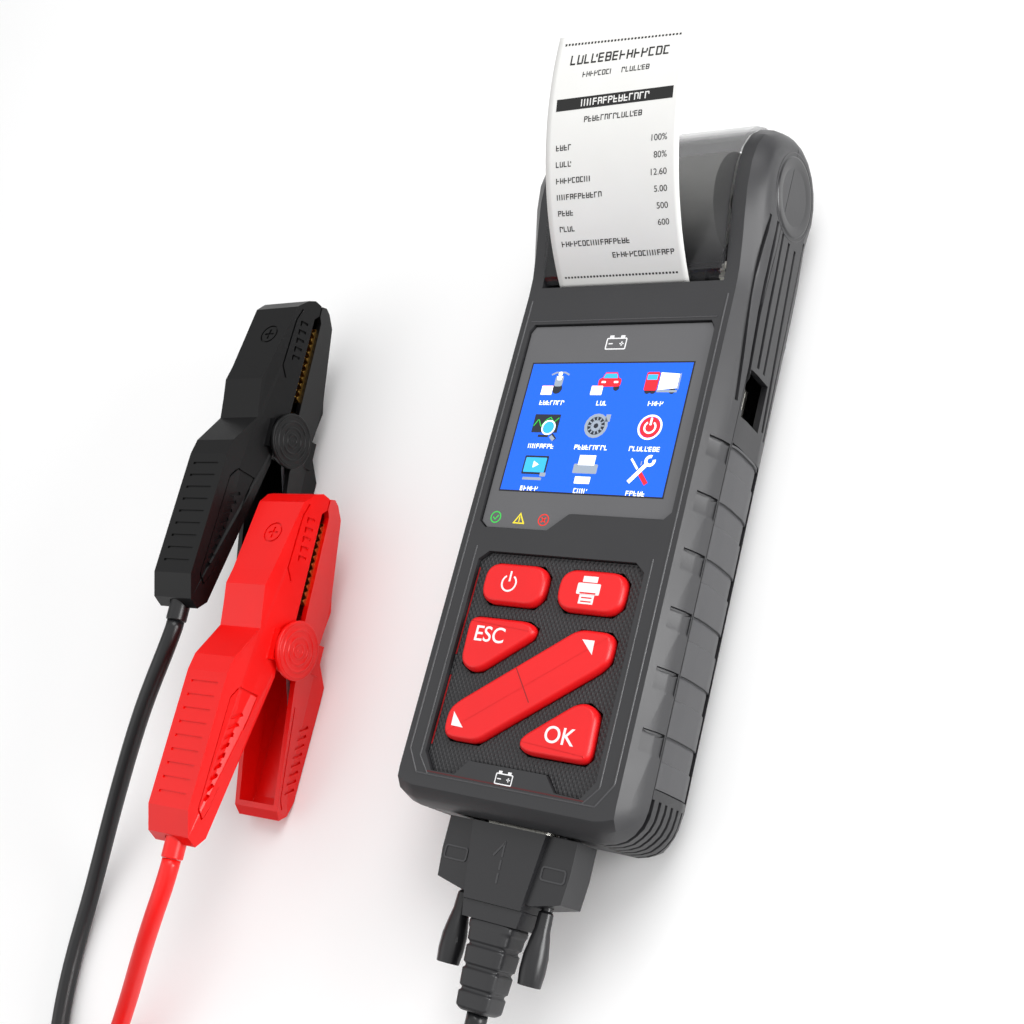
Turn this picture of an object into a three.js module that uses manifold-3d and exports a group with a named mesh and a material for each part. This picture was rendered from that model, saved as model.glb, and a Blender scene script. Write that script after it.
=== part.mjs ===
// Handheld battery tester with a built-in receipt printer, and its test lead with two clamps.
// Millimetres. The tester lies on its flat back: +Z is out of the front panel, +Y is the
// printer end, +X is the right-hand side. The origin is the middle of the flat back.
import * as THREE from 'three';
import * as BufferGeometryUtils from 'three/addons/utils/BufferGeometryUtils.js';
import Module from 'manifold-3d';

const wasm = await Module();
wasm.setup();

// ---- driving dimensions ----
const GAP = 0.3;                    // clearance between pieces that touch
const BODY_HALF_LENGTH = 139.5;     // the case runs from -Y to +Y
const BODY_HALF_WIDTH = 52;
const FRONT_Z = 48;                 // height of the front panel over the back
const WALL = 2.5;                   // case wall
const PARTING_Z = 36;               // where the two case halves meet
const PRINTER_Y = 112;              // centre line of the rounded printer end
const PRINTER_Z = 31;
const PRINTER_R = 26.5;
const SCREEN_Y = 8;                 // centre of the display
const SCREEN_W = 70;
const SCREEN_H = 53;
const KEY_TOP_Z = 49.4;             // keys stand a little proud of the front panel
const PANEL_TOP_Z = 46.2;           // knurled panel around the keys
const BAY_HALF_WIDTH = 40;          // printer bay
const SLOT_Y = 67.5;                // where the paper comes out
const PAPER_LEAN = 0.07;            // sideways lean of the paper for each mm of its length
const PAPER_X = -3.9;               // middle of the paper at the slot
const ROLL_R = 21;
const ROLL_Y = 110;                 // the roll's centre
const PAPER_W = 57.5;
const LEAD_D = 7.5;                 // diameter of every cable
const PLUG_Z = 28;                  // axis of the plug in the bottom end
const CLAMP_YAW = -2 * Math.PI / 180;   // turn of the clamps in plan
const CLAMP_PITCH = 3 * Math.PI / 180;  // they rest on the flat of their lower handles
const CLAMP_HALF_WIDTH = 15.5;
const RED_PIVOT = [-129.7, -88.1, 29.1];    // near end of each clamp's pivot
const BLACK_PIVOT = [-170.3, 6, 29.1];

// ---- materials ----
const paint = (color, roughness = 0.55, metalness = 0) =>
  new THREE.MeshStandardMaterial({ color, roughness, metalness });
const casePlastic = paint(0x4a4a4a);
const rearPlastic = paint(0x2c2c2c);
const gripRubber = paint(0x6a6a6a, 0.75);
const lensPlastic = paint(0x757575, 0.35);
const panelPlastic = paint(0x3a3a3a, 0.7);
const keyRubber = paint(0xff3b3b, 0.45);
const smokyPlastic = paint(0x303030, 0.15);
const paperWhite = paint(0xf4f4f2, 0.9);
const steel = paint(0xb8b8b8, 0.35, 1);
const brass = paint(0xb89a55, 0.4, 1);
const boardGreen = paint(0x1d5a34, 0.6);
const screenBlue = paint(0x1a66f5, 0.3);
const blackPlastic = paint(0x1c1c1c, 0.5);
const redPlastic = paint(0xff1818, 0.4);
const blackRubber = paint(0x222222, 0.6);
const redRubber = paint(0xff2a1a, 0.5);

// ---- helpers ----
const root = new THREE.Group();

function toSolid(geometry) {
  const bare = geometry.index ? geometry.toNonIndexed() : geometry.clone();
  bare.deleteAttribute('normal');
  bare.deleteAttribute('uv');
  const merged = BufferGeometryUtils.mergeVertices(bare, 1e-4);
  return new wasm.Manifold(new wasm.Mesh({
    numProp: 3,
    vertProperties: merged.attributes.position.array,
    triVerts: merged.index.array,
  }));
}

function toGeometry(solid) {
  const mesh = solid.getMesh();
  const geometry = new THREE.BufferGeometry();
  geometry.setAttribute('position', new THREE.BufferAttribute(mesh.vertProperties, 3));
  geometry.setIndex(new THREE.BufferAttribute(mesh.triVerts, 1));
  geometry.computeVertexNormals();
  return geometry;
}

function add(name, shape, material, parent = root) {
  const geometry = shape.isBufferGeometry ? shape : toGeometry(shape);
  const mesh = new THREE.Mesh(geometry, material);
  mesh.name = name;
  parent.add(mesh);
  return mesh;
}

const union = (...solids) => solids.reduce((a, b) => a.add(b));
const cut = (solid, ...tools) => tools.reduce((a, b) => a.subtract(b), solid);

function place(geometry, x = 0, y = 0, z = 0, rx = 0, ry = 0, rz = 0) {
  geometry.rotateX(rx);
  geometry.rotateY(ry);
  geometry.rotateZ(rz);
  geometry.translate(x, y, z);
  return toSolid(geometry);
}

// A box given by its lowest and highest corners.
function block(x0, x1, y0, y1, z0, z1) {
  const geometry = new THREE.BoxGeometry(x1 - x0, y1 - y0, z1 - z0);
  return place(geometry, (x0 + x1) / 2, (y0 + y1) / 2, (z0 + z1) / 2);
}

// Cylinders along each axis, given by centre of one end and length.
function rodX(r, x0, x1, y, z, sides = 24) {
  const geometry = new THREE.CylinderGeometry(r, r, x1 - x0, sides);
  return place(geometry, (x0 + x1) / 2, y, z, 0, 0, Math.PI / 2);
}
function rodY(r, y0, y1, x, z, sides = 24) {
  const geometry = new THREE.CylinderGeometry(r, r, y1 - y0, sides);
  return place(geometry, x, (y0 + y1) / 2, z);
}
function rodZ(r, z0, z1, x, y, sides = 24) {
  const geometry = new THREE.CylinderGeometry(r, r, z1 - z0, sides);
  return place(geometry, x, y, (z0 + z1) / 2, Math.PI / 2);
}

// An outline in X and Y raised from z0 to z1.
function raise(points, z0, z1) {
  const shape = new THREE.Shape(points.map(([x, y]) => new THREE.Vector2(x, y)));
  const geometry = new THREE.ExtrudeGeometry(shape, { depth: z1 - z0, bevelEnabled: false, curveSegments: 6 });
  return place(geometry, 0, 0, z0);
}

// An outline in Y and Z carried across from x0 to x1.
function across(points, x0, x1) {
  const shape = new THREE.Shape(points.map(([y, z]) => new THREE.Vector2(y, z)));
  const geometry = new THREE.ExtrudeGeometry(shape, { depth: x1 - x0, bevelEnabled: false, curveSegments: 6 });
  geometry.rotateY(Math.PI / 2);
  geometry.rotateX(Math.PI / 2);
  return place(geometry, x0);
}

// Closed rings with the same number of points, joined one to the next and capped.
function loft(rings) {
  const count = rings[0].length;
  const positions = rings.flat(2);
  const index = [];
  for (let r = 0; r < rings.length - 1; r += 1) {
    for (let i = 0; i < count; i += 1) {
      const j = (i + 1) % count;
      const a = r * count + i;
      const b = r * count + j;
      const c = (r + 1) * count + j;
      const d = (r + 1) * count + i;
      index.push(a, b, c, a, c, d);
    }
  }
  capRing(rings[0], 0, index, true);
  capRing(rings[rings.length - 1], (rings.length - 1) * count, index, false);
  if (enclosed(positions, index) < 0) {
    index.reverse();
  }
  const geometry = new THREE.BufferGeometry();
  geometry.setAttribute('position', new THREE.Float32BufferAttribute(positions, 3));
  geometry.setIndex(index);
  return toSolid(geometry);
}

// Signed volume inside a closed triangle mesh; negative when it is inside out.
function enclosed(positions, index) {
  const corner = (i) => new THREE.Vector3().fromArray(positions, index[i] * 3);
  let total = 0;
  for (let i = 0; i < index.length; i += 3) {
    total += corner(i).dot(corner(i + 1).cross(corner(i + 2))) / 6;
  }
  return total;
}

// Fills one flat ring, working in the two axes in which it is widest.
function capRing(ring, base, index, flip) {
  const spans = [0, 1, 2].map((k) => Math.max(...ring.map((p) => p[k])) - Math.min(...ring.map((p) => p[k])));
  const thin = spans.indexOf(Math.min(...spans));
  const [u, v] = [0, 1, 2].filter((k) => k !== thin);
  const flat = ring.map((p) => new THREE.Vector2(p[u], p[v]));
  const faces = THREE.ShapeUtils.triangulateShape(flat, []);
  const signed = THREE.ShapeUtils.area(flat);
  for (const [a, b, c] of faces) {
    const order = (signed > 0) === (crossSign(flat, a, b, c) > 0) ? [a, b, c] : [a, c, b];
    const turned = flip ? [order[0], order[2], order[1]] : order;
    index.push(...turned.map((k) => base + k));
  }
}
function crossSign(flat, a, b, c) {
  const ab = flat[b].clone().sub(flat[a]);
  const ac = flat[c].clone().sub(flat[a]);
  return ab.cross(ac);
}

const mirrorX = (points) => points.map(([x, y]) => [-x, y]).reverse();

// ---- case: a closed outer form, carried across in X from one side to the other ----

// Side profile in Y and Z, and the narrow one that it shrinks to at the outermost sides.
const ARC_STEPS = [90, 72, 54, 36, 18, 0, -18, -36, -54, -72, -90].map((a) => a * Math.PI / 180);
const arc = (r) => ARC_STEPS.map((a) => [PRINTER_Y + r * Math.cos(a), PRINTER_Z + r * Math.sin(a)]);
const PROFILE = [
  [-139.5, 11], [-139.5, 24], [-139.5, 39.5], [-137.6, 44.5], [-133.8, 47.6], [-130, FRONT_Z],
  [-60, FRONT_Z], [10, FRONT_Z], [64, FRONT_Z], [72, 48.6], [82, 51], [92, 54], [102, 56.7],
  ...arc(PRINTER_R),
  [100, 3], [86, 0.7], [74, 0], [0, 0], [-127, 0], [-134, 2.4], [-138.2, 6.4],
];
const SIDE_PROFILE = [
  [-124.5, 19], [-124.5, 24], [-124.5, 26], [-124, 27.6], [-122, 28.6], [-119, 29],
  [-60, 29], [10, 29], [64, 29], [72, 31], [82, 35], [92, 40], [102, 45.5],
  ...arc(18),
  [100, 16], [86, 15], [74, 15], [0, 15], [-116, 15], [-121, 15.6], [-123.6, 17],
];
// Each station: half width, then how far the ends, the front and the back have shrunk.
const STATIONS = [
  [38, 0, 0, 0], [42, 0.06, 0, 0.05], [45.5, 0.17, 0, 0.16], [48, 0.33, 0.22, 0.33],
  [50.2, 0.53, 0.42, 0.54], [51.4, 0.74, 0.62, 0.75], [BODY_HALF_WIDTH, 1, 1, 1],
];

function caseRing(x, ends, front, back) {
  return PROFILE.map(([y, z], i) => {
    const [sideY, sideZ] = SIDE_PROFILE[i];
    const share = z > PRINTER_Z - 7 ? front : back;
    return [x, y + (sideY - y) * ends, z + (sideZ - z) * share];
  });
}
const caseRings = [
  ...STATIONS.slice().reverse().map(([x, e, f, b]) => caseRing(-x, e, f, b)),
  ...STATIONS.map(([x, e, f, b]) => caseRing(x, e, f, b)),
];
const outerForm = loft(caseRings);
const MID_Z = 28.75;
// The same form with every side brought in by about one wall's thickness.
function formInside(wall) {
  const shrink = (half) => (half - wall) / half;
  return loft(caseRings.map((ring) => ring.map(([x, y, z]) => [
    x * shrink(BODY_HALF_WIDTH), y * shrink(BODY_HALF_LENGTH), MID_Z + (z - MID_Z) * shrink(MID_Z),
  ])));
}
const innerForm = formInside(WALL);

const BEZEL = [
  [-40.6, 48.3], [-38.8, 51.3], [38.8, 51.3], [40.6, 48.3], [40.8, -24.3], [38, -27.3],
  [-0.9, -27.3], [-9, -34.3], [-36.6, -34.4], [-39.9, -31.8],
];
const KEYPAD_RIGHT = [
  [31.5, -43.7], [35.6, -47.2], [36.1, -121], [31.4, -127.6], [21, -127.3], [16.2, -121.8],
];
const KEYPAD = [...mirrorX(KEYPAD_RIGHT), ...KEYPAD_RIGHT];

// Moves every corner of an outline in (or out, for a negative step) by about the same step.
function inset(points, step) {
  const turn = Math.sign(THREE.ShapeUtils.area(points.map(([x, y]) => new THREE.Vector2(x, y))));
  return points.map((point, i) => {
    const before = points[(i + points.length - 1) % points.length];
    const after = points[(i + 1) % points.length];
    const a = new THREE.Vector2(point[0] - before[0], point[1] - before[1]).normalize();
    const b = new THREE.Vector2(after[0] - point[0], after[1] - point[1]).normalize();
    const normal = new THREE.Vector2(-a.y - b.y, a.x + b.x).normalize();
    const lean = Math.max(0.5, normal.x * -a.y + normal.y * a.x);
    return [point[0] + normal.x * turn * step / lean, point[1] + normal.y * turn * step / lean];
  });
}

const LENS_LEDGE_Z = 45.2;
const PANEL_LEDGE_Z = 44.2;
const LEDGE = 2.6;
const BIG = 200;

const socketOpening = block(-21, 21, -150, -120, PLUG_Z - 7.6, PLUG_Z + 7.6);
const PORT = { y: 28.6, z: 26.5, halfY: 9.5, halfZ: 7.5 };   // opening in the right side
const portOpening = block(42, 60, PORT.y - PORT.halfY, PORT.y + PORT.halfY,
  PORT.z - PORT.halfZ, PORT.z + PORT.halfZ);
const bayOpening = block(-BAY_HALF_WIDTH, BAY_HALF_WIDTH, SLOT_Y, 150, 24, 70);

function frontShell() {
  const hollow = cut(outerForm, innerForm);
  const lensPad = raise(inset(BEZEL, -1.5), 43.4, 47);
  const panelPad = raise(inset(KEYPAD, -1.5), 42.6, 47);
  const padded = union(hollow, lensPad, panelPad);
  const bayWalls = union(
    block(-BAY_HALF_WIDTH - 2.2, -BAY_HALF_WIDTH, SLOT_Y, 138, 30, 60),
    block(BAY_HALF_WIDTH, BAY_HALF_WIDTH + 2.2, SLOT_Y, 138, 30, 60),
  ).intersect(outerForm);
  const top = block(-BIG, BIG, -BIG, BIG, PARTING_Z + GAP / 2, BIG);
  const screenHole = block(-SCREEN_W / 2 - 2, SCREEN_W / 2 + 2, SCREEN_Y - SCREEN_H / 2 - 2,
    SCREEN_Y + SCREEN_H / 2 + 2, 40, 60);
  return cut(
    padded.intersect(top),
    raise(BEZEL, LENS_LEDGE_Z, 60),
    screenHole,
    raise(KEYPAD, PANEL_LEDGE_Z, 60),
    raise(inset(KEYPAD, LEDGE), 38, 60),
    bayOpening,
  ).add(bayWalls.intersect(top));
}

function rearShell() {
  const hollow = cut(outerForm, innerForm);
  const bottom = block(-BIG, BIG, -BIG, BIG, -BIG, PARTING_Z - GAP / 2);
  const posts = BOARD_POSTS.map(([x, y]) => cut(
    rodZ(3.4, 1, BOARD_Z - GAP, x, y, 12), rodZ(1.2, -1, BOARD_Z + 1, x, y, 8)));
  const screwWells = SCREWS.map(([x, y]) => rodZ(3.6, -1, 1.8, x, y, 12));
  const screwHoles = SCREWS.map(([x, y]) => rodZ(1.9, -1, 15, x, y, 8));
  const gripSeats = [1, -1].map((side) => gripBlank(side, -GAP, GRIP_Y[0] - GAP, GRIP_Y[1] + GAP));
  return cut(
    union(hollow.intersect(bottom), ...posts),
    socketOpening, portOpening, bayOpening, ...screwWells, ...screwHoles, ...gripSeats,
  );
}

// ---- soft side grips: a strip set into each side of the rear case, with stepped ribs ----
const GRIP_Y = [-118, 8];
const GRIP_DEPTH = 2;
const GRIP_SECTION = [[50.1, 35.4], [51.45, 32], [52, 27], [52, 17], [51.2, 12.6], [49.6, 9.2]];
const RIB_TOP_Y = 7;                // the first rib's upper edge
const RIB_PITCH = 21.4;
const RIB_COUNT = 6;
const RIB_LOW_PART = 8.5;           // part of the pitch where the grip is lower

function gripRing(side, y, rise, depth) {
  const outer = GRIP_SECTION.map(([x, z]) => [side * (x + rise), y, z]);
  const inner = GRIP_SECTION.map(([x, z]) => [side * (x - depth), y, z]).reverse();
  return [...outer, ...inner];
}
function gripBlank(side, grow, y0, y1) {
  const rings = [gripRing(side, y0, 6, GRIP_DEPTH - grow), gripRing(side, y1, 6, GRIP_DEPTH - grow)];
  return loft(side > 0 ? rings : rings.reverse());
}
function sideGrip(side) {
  const levels = [[GRIP_Y[1], 0.4]];
  for (let i = 0; i < RIB_COUNT; i += 1) {
    const top = RIB_TOP_Y - i * RIB_PITCH;
    const low = top - RIB_LOW_PART;
    levels.push([top, 0.4], [top - 0.1, -0.7], [top - 0.9, -0.2], [low, -0.2], [low - 0.3, 0.4]);
  }
  levels.push([GRIP_Y[0], 0.4]);
  const rings = levels.map(([y, rise]) => gripRing(side, y, rise, GRIP_DEPTH));
  const strip = loft(side > 0 ? rings.reverse() : rings);
  return cut(strip, portOpening);
}

// ---- board, display and keys ----
const BOARD_Z = 30;
const BOARD_POSTS = [[-38, -110], [38, -110], [-38, 32], [34.5, 34]];
const SCREWS = [[-36, -118], [36, -118], [-43.5, 64], [43.5, 64]];

const POWER_KEY = [
  [-29.3, -51.6], [-26.2, -48.8], [-6.8, -48.8], [-3.5, -51.8], [-3.5, -59.6], [-6.8, -63],
  [-26, -63], [-29.3, -60],
];
const ESC_KEY = [
  [-29.2, -69.9], [-6.6, -69.9], [-3.3, -71.6], [-3.6, -74.6], [-21.8, -88.5], [-26, -89.2],
  [-30.4, -86.6], [-31, -71.8],
];
const KEYS_CENTRE_Y = -92.6;        // the three lower keys match when turned half round here
const UPDOWN_HALF = [[15.5, -70.5], [27.3, -70.5], [29.7, -72.6], [29.7, -79.8], [27, -83.2]];
const halfTurn = (points) => points.map(([x, y]) => [-x, 2 * KEYS_CENTRE_Y - y]);
const OK_KEY = halfTurn(ESC_KEY);
const UPDOWN_KEY = [...UPDOWN_HALF, ...halfTurn(UPDOWN_HALF)];
const PRINT_KEY = mirrorX(POWER_KEY);
const KEY_SIDE = 0.8;               // the sides spread outwards towards the panel
const KEY_OUTLINES = {
  key_power: POWER_KEY, key_print: PRINT_KEY, key_esc: ESC_KEY,
  key_updown: UPDOWN_KEY, key_ok: OK_KEY,
};

function keySolid(outline) {
  const ringAt = (points, z) => points.map(([x, y]) => [x, y, z]);
  const counter = THREE.ShapeUtils.area(outline.map(([x, y]) => new THREE.Vector2(x, y))) > 0;
  const loop = counter ? outline : outline.slice().reverse();
  const wide = inset(loop, -KEY_SIDE);
  const cap = loft([
    ringAt(wide, 43.5), ringAt(wide, 47.6), ringAt(inset(loop, -0.35), KEY_TOP_Z - 0.7),
    ringAt(inset(loop, 0.5), KEY_TOP_Z),
  ]);
  const flange = raise(inset(loop, -KEY_SIDE - 1.1), 42.4, 43.6);
  return union(cap, flange);
}

function keypadPanel() {
  const openings = Object.values(KEY_OUTLINES).map((outline) =>
    raise(inset(outline, -KEY_SIDE - 0.45), 40, 60));
  return cut(raise(inset(KEYPAD, GAP), PANEL_LEDGE_Z + GAP, PANEL_TOP_Z), ...openings);
}

function keypadMat() {
  const domes = [[-16.4, -56], [16.4, -56], [-22, -77], [22, -108], [-20, -107], [20, -78]];
  const plate = block(-33, 33, -120, -47, 39.4, 40.6);
  return union(plate, ...domes.map(([x, y]) => rodZ(3, 40, 41.05, x, y, 10)));
}

function displayLens() {
  return raise(inset(BEZEL, GAP), LENS_LEDGE_Z + GAP, 46.9);
}

function mainBoard() {
  const board = block(-43, 43, -124, 40, BOARD_Z, BOARD_Z + 1.6);
  const posts = BOARD_POSTS.map(([x, y]) => rodZ(1.6, BOARD_Z - 1, BOARD_Z + 3, x, y, 12));
  const relay = block(-34, -20, -34, -16, BOARD_Z + 1, BOARD_Z + 9);
  const chip = block(-8, 8, -14, 2, BOARD_Z + 1, BOARD_Z + 3);
  const portNotch = block(40, 46, PORT.y - PORT.halfY - 1, PORT.y + PORT.halfY + 1, 20, 40);
  return cut(union(board, relay, chip), ...posts, portNotch);
}

add('front_shell', frontShell(), casePlastic);
add('rear_shell', rearShell(), rearPlastic);
add('side_grip_right', sideGrip(1), gripRubber);
add('side_grip_left', sideGrip(-1), gripRubber);
add('display_lens', displayLens(), lensPlastic);
add('lcd_module', block(-38.5, 38.5, SCREEN_Y - 30.5, SCREEN_Y + 30.5, 39.6, 43), screenBlue);
add('keypad_panel', keypadPanel(), panelPlastic);
add('keypad_mat', keypadMat(), blackRubber);
for (const [name, outline] of Object.entries(KEY_OUTLINES)) {
  add(name, keySolid(outline), keyRubber);
}
add('main_pcb', mainBoard(), boardGreen);
add('buzzer', rodZ(6, BOARD_Z + 1.6 + GAP, BOARD_Z + 8, 22, -70, 20), blackPlastic);
SCREWS.forEach(([x, y], i) => {
  const screw = cut(
    union(rodZ(3.2, 0.3, 1.5, x, y, 12), rodZ(1.5, 1.4, 14, x, y, 8)),
    block(x - 2.2, x + 2.2, y - 0.4, y + 0.4, 0, 0.8),
    block(x - 0.4, x + 0.4, y - 2.2, y + 2.2, 0, 0.8),
  );
  add(`case_screw_${i + 1}`, screw, steel);
});

// ---- printer ----
const PLATEN = { y: 72.4, z: 40.6, r: 4.6 };
const IDLER = { y: 60.8, z: 30.4 };
const PINION = { y: 48.4, z: 24.2 };
const GEAR_X = [36.7, 38.9];
const CHEEK_X = [33.9, 36.2];

// A gear with square-cut teeth, turning on X; its pitch radius is 0.4 mm a tooth.
function gear(teeth, centre, bore) {
  const points = [];
  for (let i = 0; i < teeth; i += 1) {
    const step = 2 * Math.PI / teeth;
    for (const [share, r] of [[0, -0.6], [0.3, -0.6], [0.42, 0.5], [0.82, 0.5]]) {
      const angle = (i + share) * step;
      const radius = teeth * 0.4 + r;
      points.push([centre.y + radius * Math.cos(angle), centre.z + radius * Math.sin(angle)]);
    }
  }
  const disc = across(points, GEAR_X[0], GEAR_X[1]);
  return bore ? cut(disc, rodX(bore, GEAR_X[0] - 1, GEAR_X[1] + 1, centre.y, centre.z, 16)) : disc;
}

function printerFrame() {
  const cheekOutline = [
    [58.8, 8], [131, 8], [131, 36], [128, 40], [125, 39], [121, 33], [110, 29], [98, 33],
    [90, 40], [80, 43.5], [58.8, 43.5],
  ];
  const leftCheek = across(cheekOutline, -CHEEK_X[1], -CHEEK_X[0]);
  const rightCheek = union(
    across(cheekOutline, CHEEK_X[0], CHEEK_X[1]),
    block(CHEEK_X[0], CHEEK_X[1], 40, 60, 8, 28.8),
    rodX(1.4, CHEEK_X[1] - 0.5, GEAR_X[1], IDLER.y, IDLER.z, 16),
  );
  const floor = block(-CHEEK_X[1], CHEEK_X[1], 58.8, 131, 7.2, 8.8);
  const wall = block(-CHEEK_X[1], CHEEK_X[1], 58.8, 60.6, 8, 43.5);
  const bearingSlots = block(-BIG, BIG, PLATEN.y - 2, PLATEN.y + 2, PLATEN.z - 2, 60);
  const inside = union(leftCheek, rightCheek, floor, wall).intersect(formInside(WALL + 0.5));
  return cut(inside, bearingSlots,
    rodX(1.6, CHEEK_X[0] - 1, CHEEK_X[1] + 1, PINION.y, PINION.z, 16));
}

function printHead() {
  return union(block(-28, 28, 61, 64.4, 30, 43), block(-26, 26, 64, 66.6, 35, 42.6));
}

const PAPER_T = 0.35;
// The paper in side view: up out of the slot, then easing over towards the printer end.
const PAPER_LENGTH = 96;
const PAPER_STEPS = 14;
const PAPER_START = [68.2, 46.2];
function paperStrip() {
  const step = PAPER_LENGTH / PAPER_STEPS;
  const slope = (i) => (58 - 50 * i / PAPER_STEPS) * Math.PI / 180;
  const rings = [];
  let [y, z] = PAPER_START;
  for (let i = 0; i <= PAPER_STEPS; i += 1) {
    const x = PAPER_X + i * step * PAPER_LEAN;
    const torn = i === PAPER_STEPS ? PAPER_W / 2 * PAPER_LEAN : 0;
    const [dy, dz] = [Math.cos(slope(i)), Math.sin(slope(i))];
    const corner = (side, depth) => [
      x + side * PAPER_W / 2, y - side * torn * dy + depth * dz, z - side * torn * dz - depth * dy];
    rings.push([corner(-1, 0), corner(1, 0), corner(1, PAPER_T), corner(-1, PAPER_T)]);
    y += step * Math.cos(slope(i + 0.5));
    z += step * Math.sin(slope(i + 0.5));
  }
  return loft(rings);
}

const COVER_HALF = BAY_HALF_WIDTH - 0.5;
const COVER_T = 1.8;
const HINGE = { y: 133.5, z: 29.4 };
function paperCover() {
  const outside = [
    [69.6, 46.6], [71.5, 50], [80, 53.4], [90, 56.6], [100, 59], [110, 59.8], [119, 58.6],
    [127, 55], [133, 49.6], [137, 42.5], [138.3, 35],
  ];
  const inner = inset(outside.concat([[128, 30], [80, 40]]), COVER_T).slice(0, outside.length);
  const sheet = across([...outside, [138.3, 29.4], [136.5, 29.4], ...inner.slice().reverse()],
    -COVER_HALF, COVER_HALF);
  const armOutline = [
    [136.9, 42], [138.2, 34], [138.2, 28], [135, 25.6], [131.6, 27], [131.2, 32], [133.6, 41],
  ];
  const arms = [-COVER_HALF, COVER_HALF - 2.6].map((x) => across(armOutline, x, x + 2.6));
  const bore = rodX(1.9, -BIG, BIG, HINGE.y, HINGE.z, 20);
  return cut(union(sheet, ...arms), bore);
}

function paperRoll() {
  const ring = rodX(ROLL_R, -PAPER_W / 2, PAPER_W / 2, ROLL_Y, PRINTER_Z, 40);
  return cut(ring, rodX(6, -BIG, BIG, ROLL_Y, PRINTER_Z, 20));
}

function tearBar() {
  const teeth = [];
  const pitch = 2;
  for (let x = -33; x < 33; x += pitch) {
    teeth.push([x, SLOT_Y - 1.1], [x + pitch / 2, SLOT_Y - 0.3]);
  }
  const outline = [
    [-34, SLOT_Y - 4.2], ...teeth, [34, SLOT_Y - 1.1], [34, SLOT_Y - 4.2],
  ].reverse();
  return raise(outline, 45.2, 45.9);
}

add('printer_frame', printerFrame(), blackPlastic);
add('print_head', printHead(), steel);
add('tear_bar', tearBar(), steel);
add('feed_motor', rodX(7.4, 14, CHEEK_X[0] - GAP, PINION.y, PINION.z, 20), steel);
add('motor_pinion', union(gear(11, PINION, 0),
  rodX(1.1, CHEEK_X[0] - GAP + 0.3, GEAR_X[0] + 0.5, PINION.y, PINION.z, 12)), brass);
add('idler_gear', gear(20, IDLER, 1.7), paperWhite);
add('platen_gear', gear(15, PLATEN, 0), paperWhite);
add('platen_roller', union(
  rodX(PLATEN.r, -30, 30, PLATEN.y, PLATEN.z, 20),
  rodX(1.5, -35.9, GEAR_X[0] - GAP, PLATEN.y, PLATEN.z, 10)), blackRubber);
add('paper_roll', paperRoll(), paperWhite);
add('paper_strip', paperStrip(), paperWhite);
add('paper_cover', paperCover(), smokyPlastic);
add('cover_hinge_pin', rodX(1.5, -39.6, 39.6, HINGE.y, HINGE.z, 16), steel);

// ---- sockets ----
function testerSocket() {
  const flange = block(-20.6, 20.6, -136, -134.4, PLUG_Z - 7, PLUG_Z + 7);
  const shroud = dShell(19, 10.4, -139.2, -135.6);
  const bore = dShell(17.8, 9.2, -141, -135.2);
  const back = block(-15, 15, -134.6, -127, PLUG_Z - 5, PLUG_Z + 5);
  const nuts = [-SCREW_X, SCREW_X].map((x) => rodY(2.2, -150, -120, x, PLUG_Z, 12));
  return cut(union(flange, shroud, back), bore, ...nuts);
}
// The D outline, wider at the top than at the bottom, between two places along Y.
function dShell(halfTop, height, y0, y1) {
  const lean = 1.6;
  const points = [
    [-halfTop + 1.4, height / 2], [-halfTop, height / 2 - 1.4], [-halfTop + lean, -height / 2 + 1.4],
    [-halfTop + lean + 1.4, -height / 2], [halfTop - lean - 1.4, -height / 2],
    [halfTop - lean, -height / 2 + 1.4], [halfTop, height / 2 - 1.4], [halfTop - 1.4, height / 2],
  ].map(([x, z]) => [x * 0.78, z]);
  const shape = new THREE.Shape(points.map(([x, z]) => new THREE.Vector2(x, z)));
  const geometry = new THREE.ExtrudeGeometry(shape, { depth: y1 - y0, bevelEnabled: false });
  return place(geometry, 0, y1, PLUG_Z, Math.PI / 2);
}
const SCREW_X = 17.2;
add('tester_socket', testerSocket(), steel);
add('usb_socket', cut(
  block(43.4, 46.4, PORT.y - 5.6, PORT.y + 5.6, PORT.z - 4, PORT.z + 4),
  block(44.4, 60, PORT.y - 4.4, PORT.y + 4.4, PORT.z - 1.7, PORT.z + 1.7)), steel);

// ---- plug in the bottom end ----
const PLUG_Y = -BODY_HALF_LENGTH - 0.9;   // the hood's face
// A rectangle across the plug's axis.
function plugRing(y, halfX, halfZ) {
  return [
    [-halfX, y, PLUG_Z - halfZ], [halfX, y, PLUG_Z - halfZ],
    [halfX, y, PLUG_Z + halfZ], [-halfX, y, PLUG_Z + halfZ],
  ];
}
function plugHood() {
  const wings = raise([
    [-27, PLUG_Y], [27, PLUG_Y], [27, -152], [26, -162], [15, -164.5], [-15, -164.5], [-26, -162], [-27, -152],
  ].reverse(), PLUG_Z - 7, PLUG_Z + 7);
  const middle = loft([
    plugRing(PLUG_Y, 15.5, 9.4), plugRing(-167, 12, 8.6), plugRing(-167.2, 12.4, 7.6), plugRing(-173, 11.4, 7.4),
  ]);
  const bores = [-SCREW_X, SCREW_X].map((x) => rodY(2.4, -170, -130, x, PLUG_Z, 16));
  const shellSeat = dShell(19.6, 11, PLUG_Y - 8, -130);
  return cut(union(wings, middle), ...bores, shellSeat);
}
add('plug_hood', plugHood(), blackPlastic);
add('plug_shell', cut(dShell(17.2, 8.6, PLUG_Y - 7.6, -137), dShell(16.4, 7.4, -146, -130)), steel);

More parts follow.
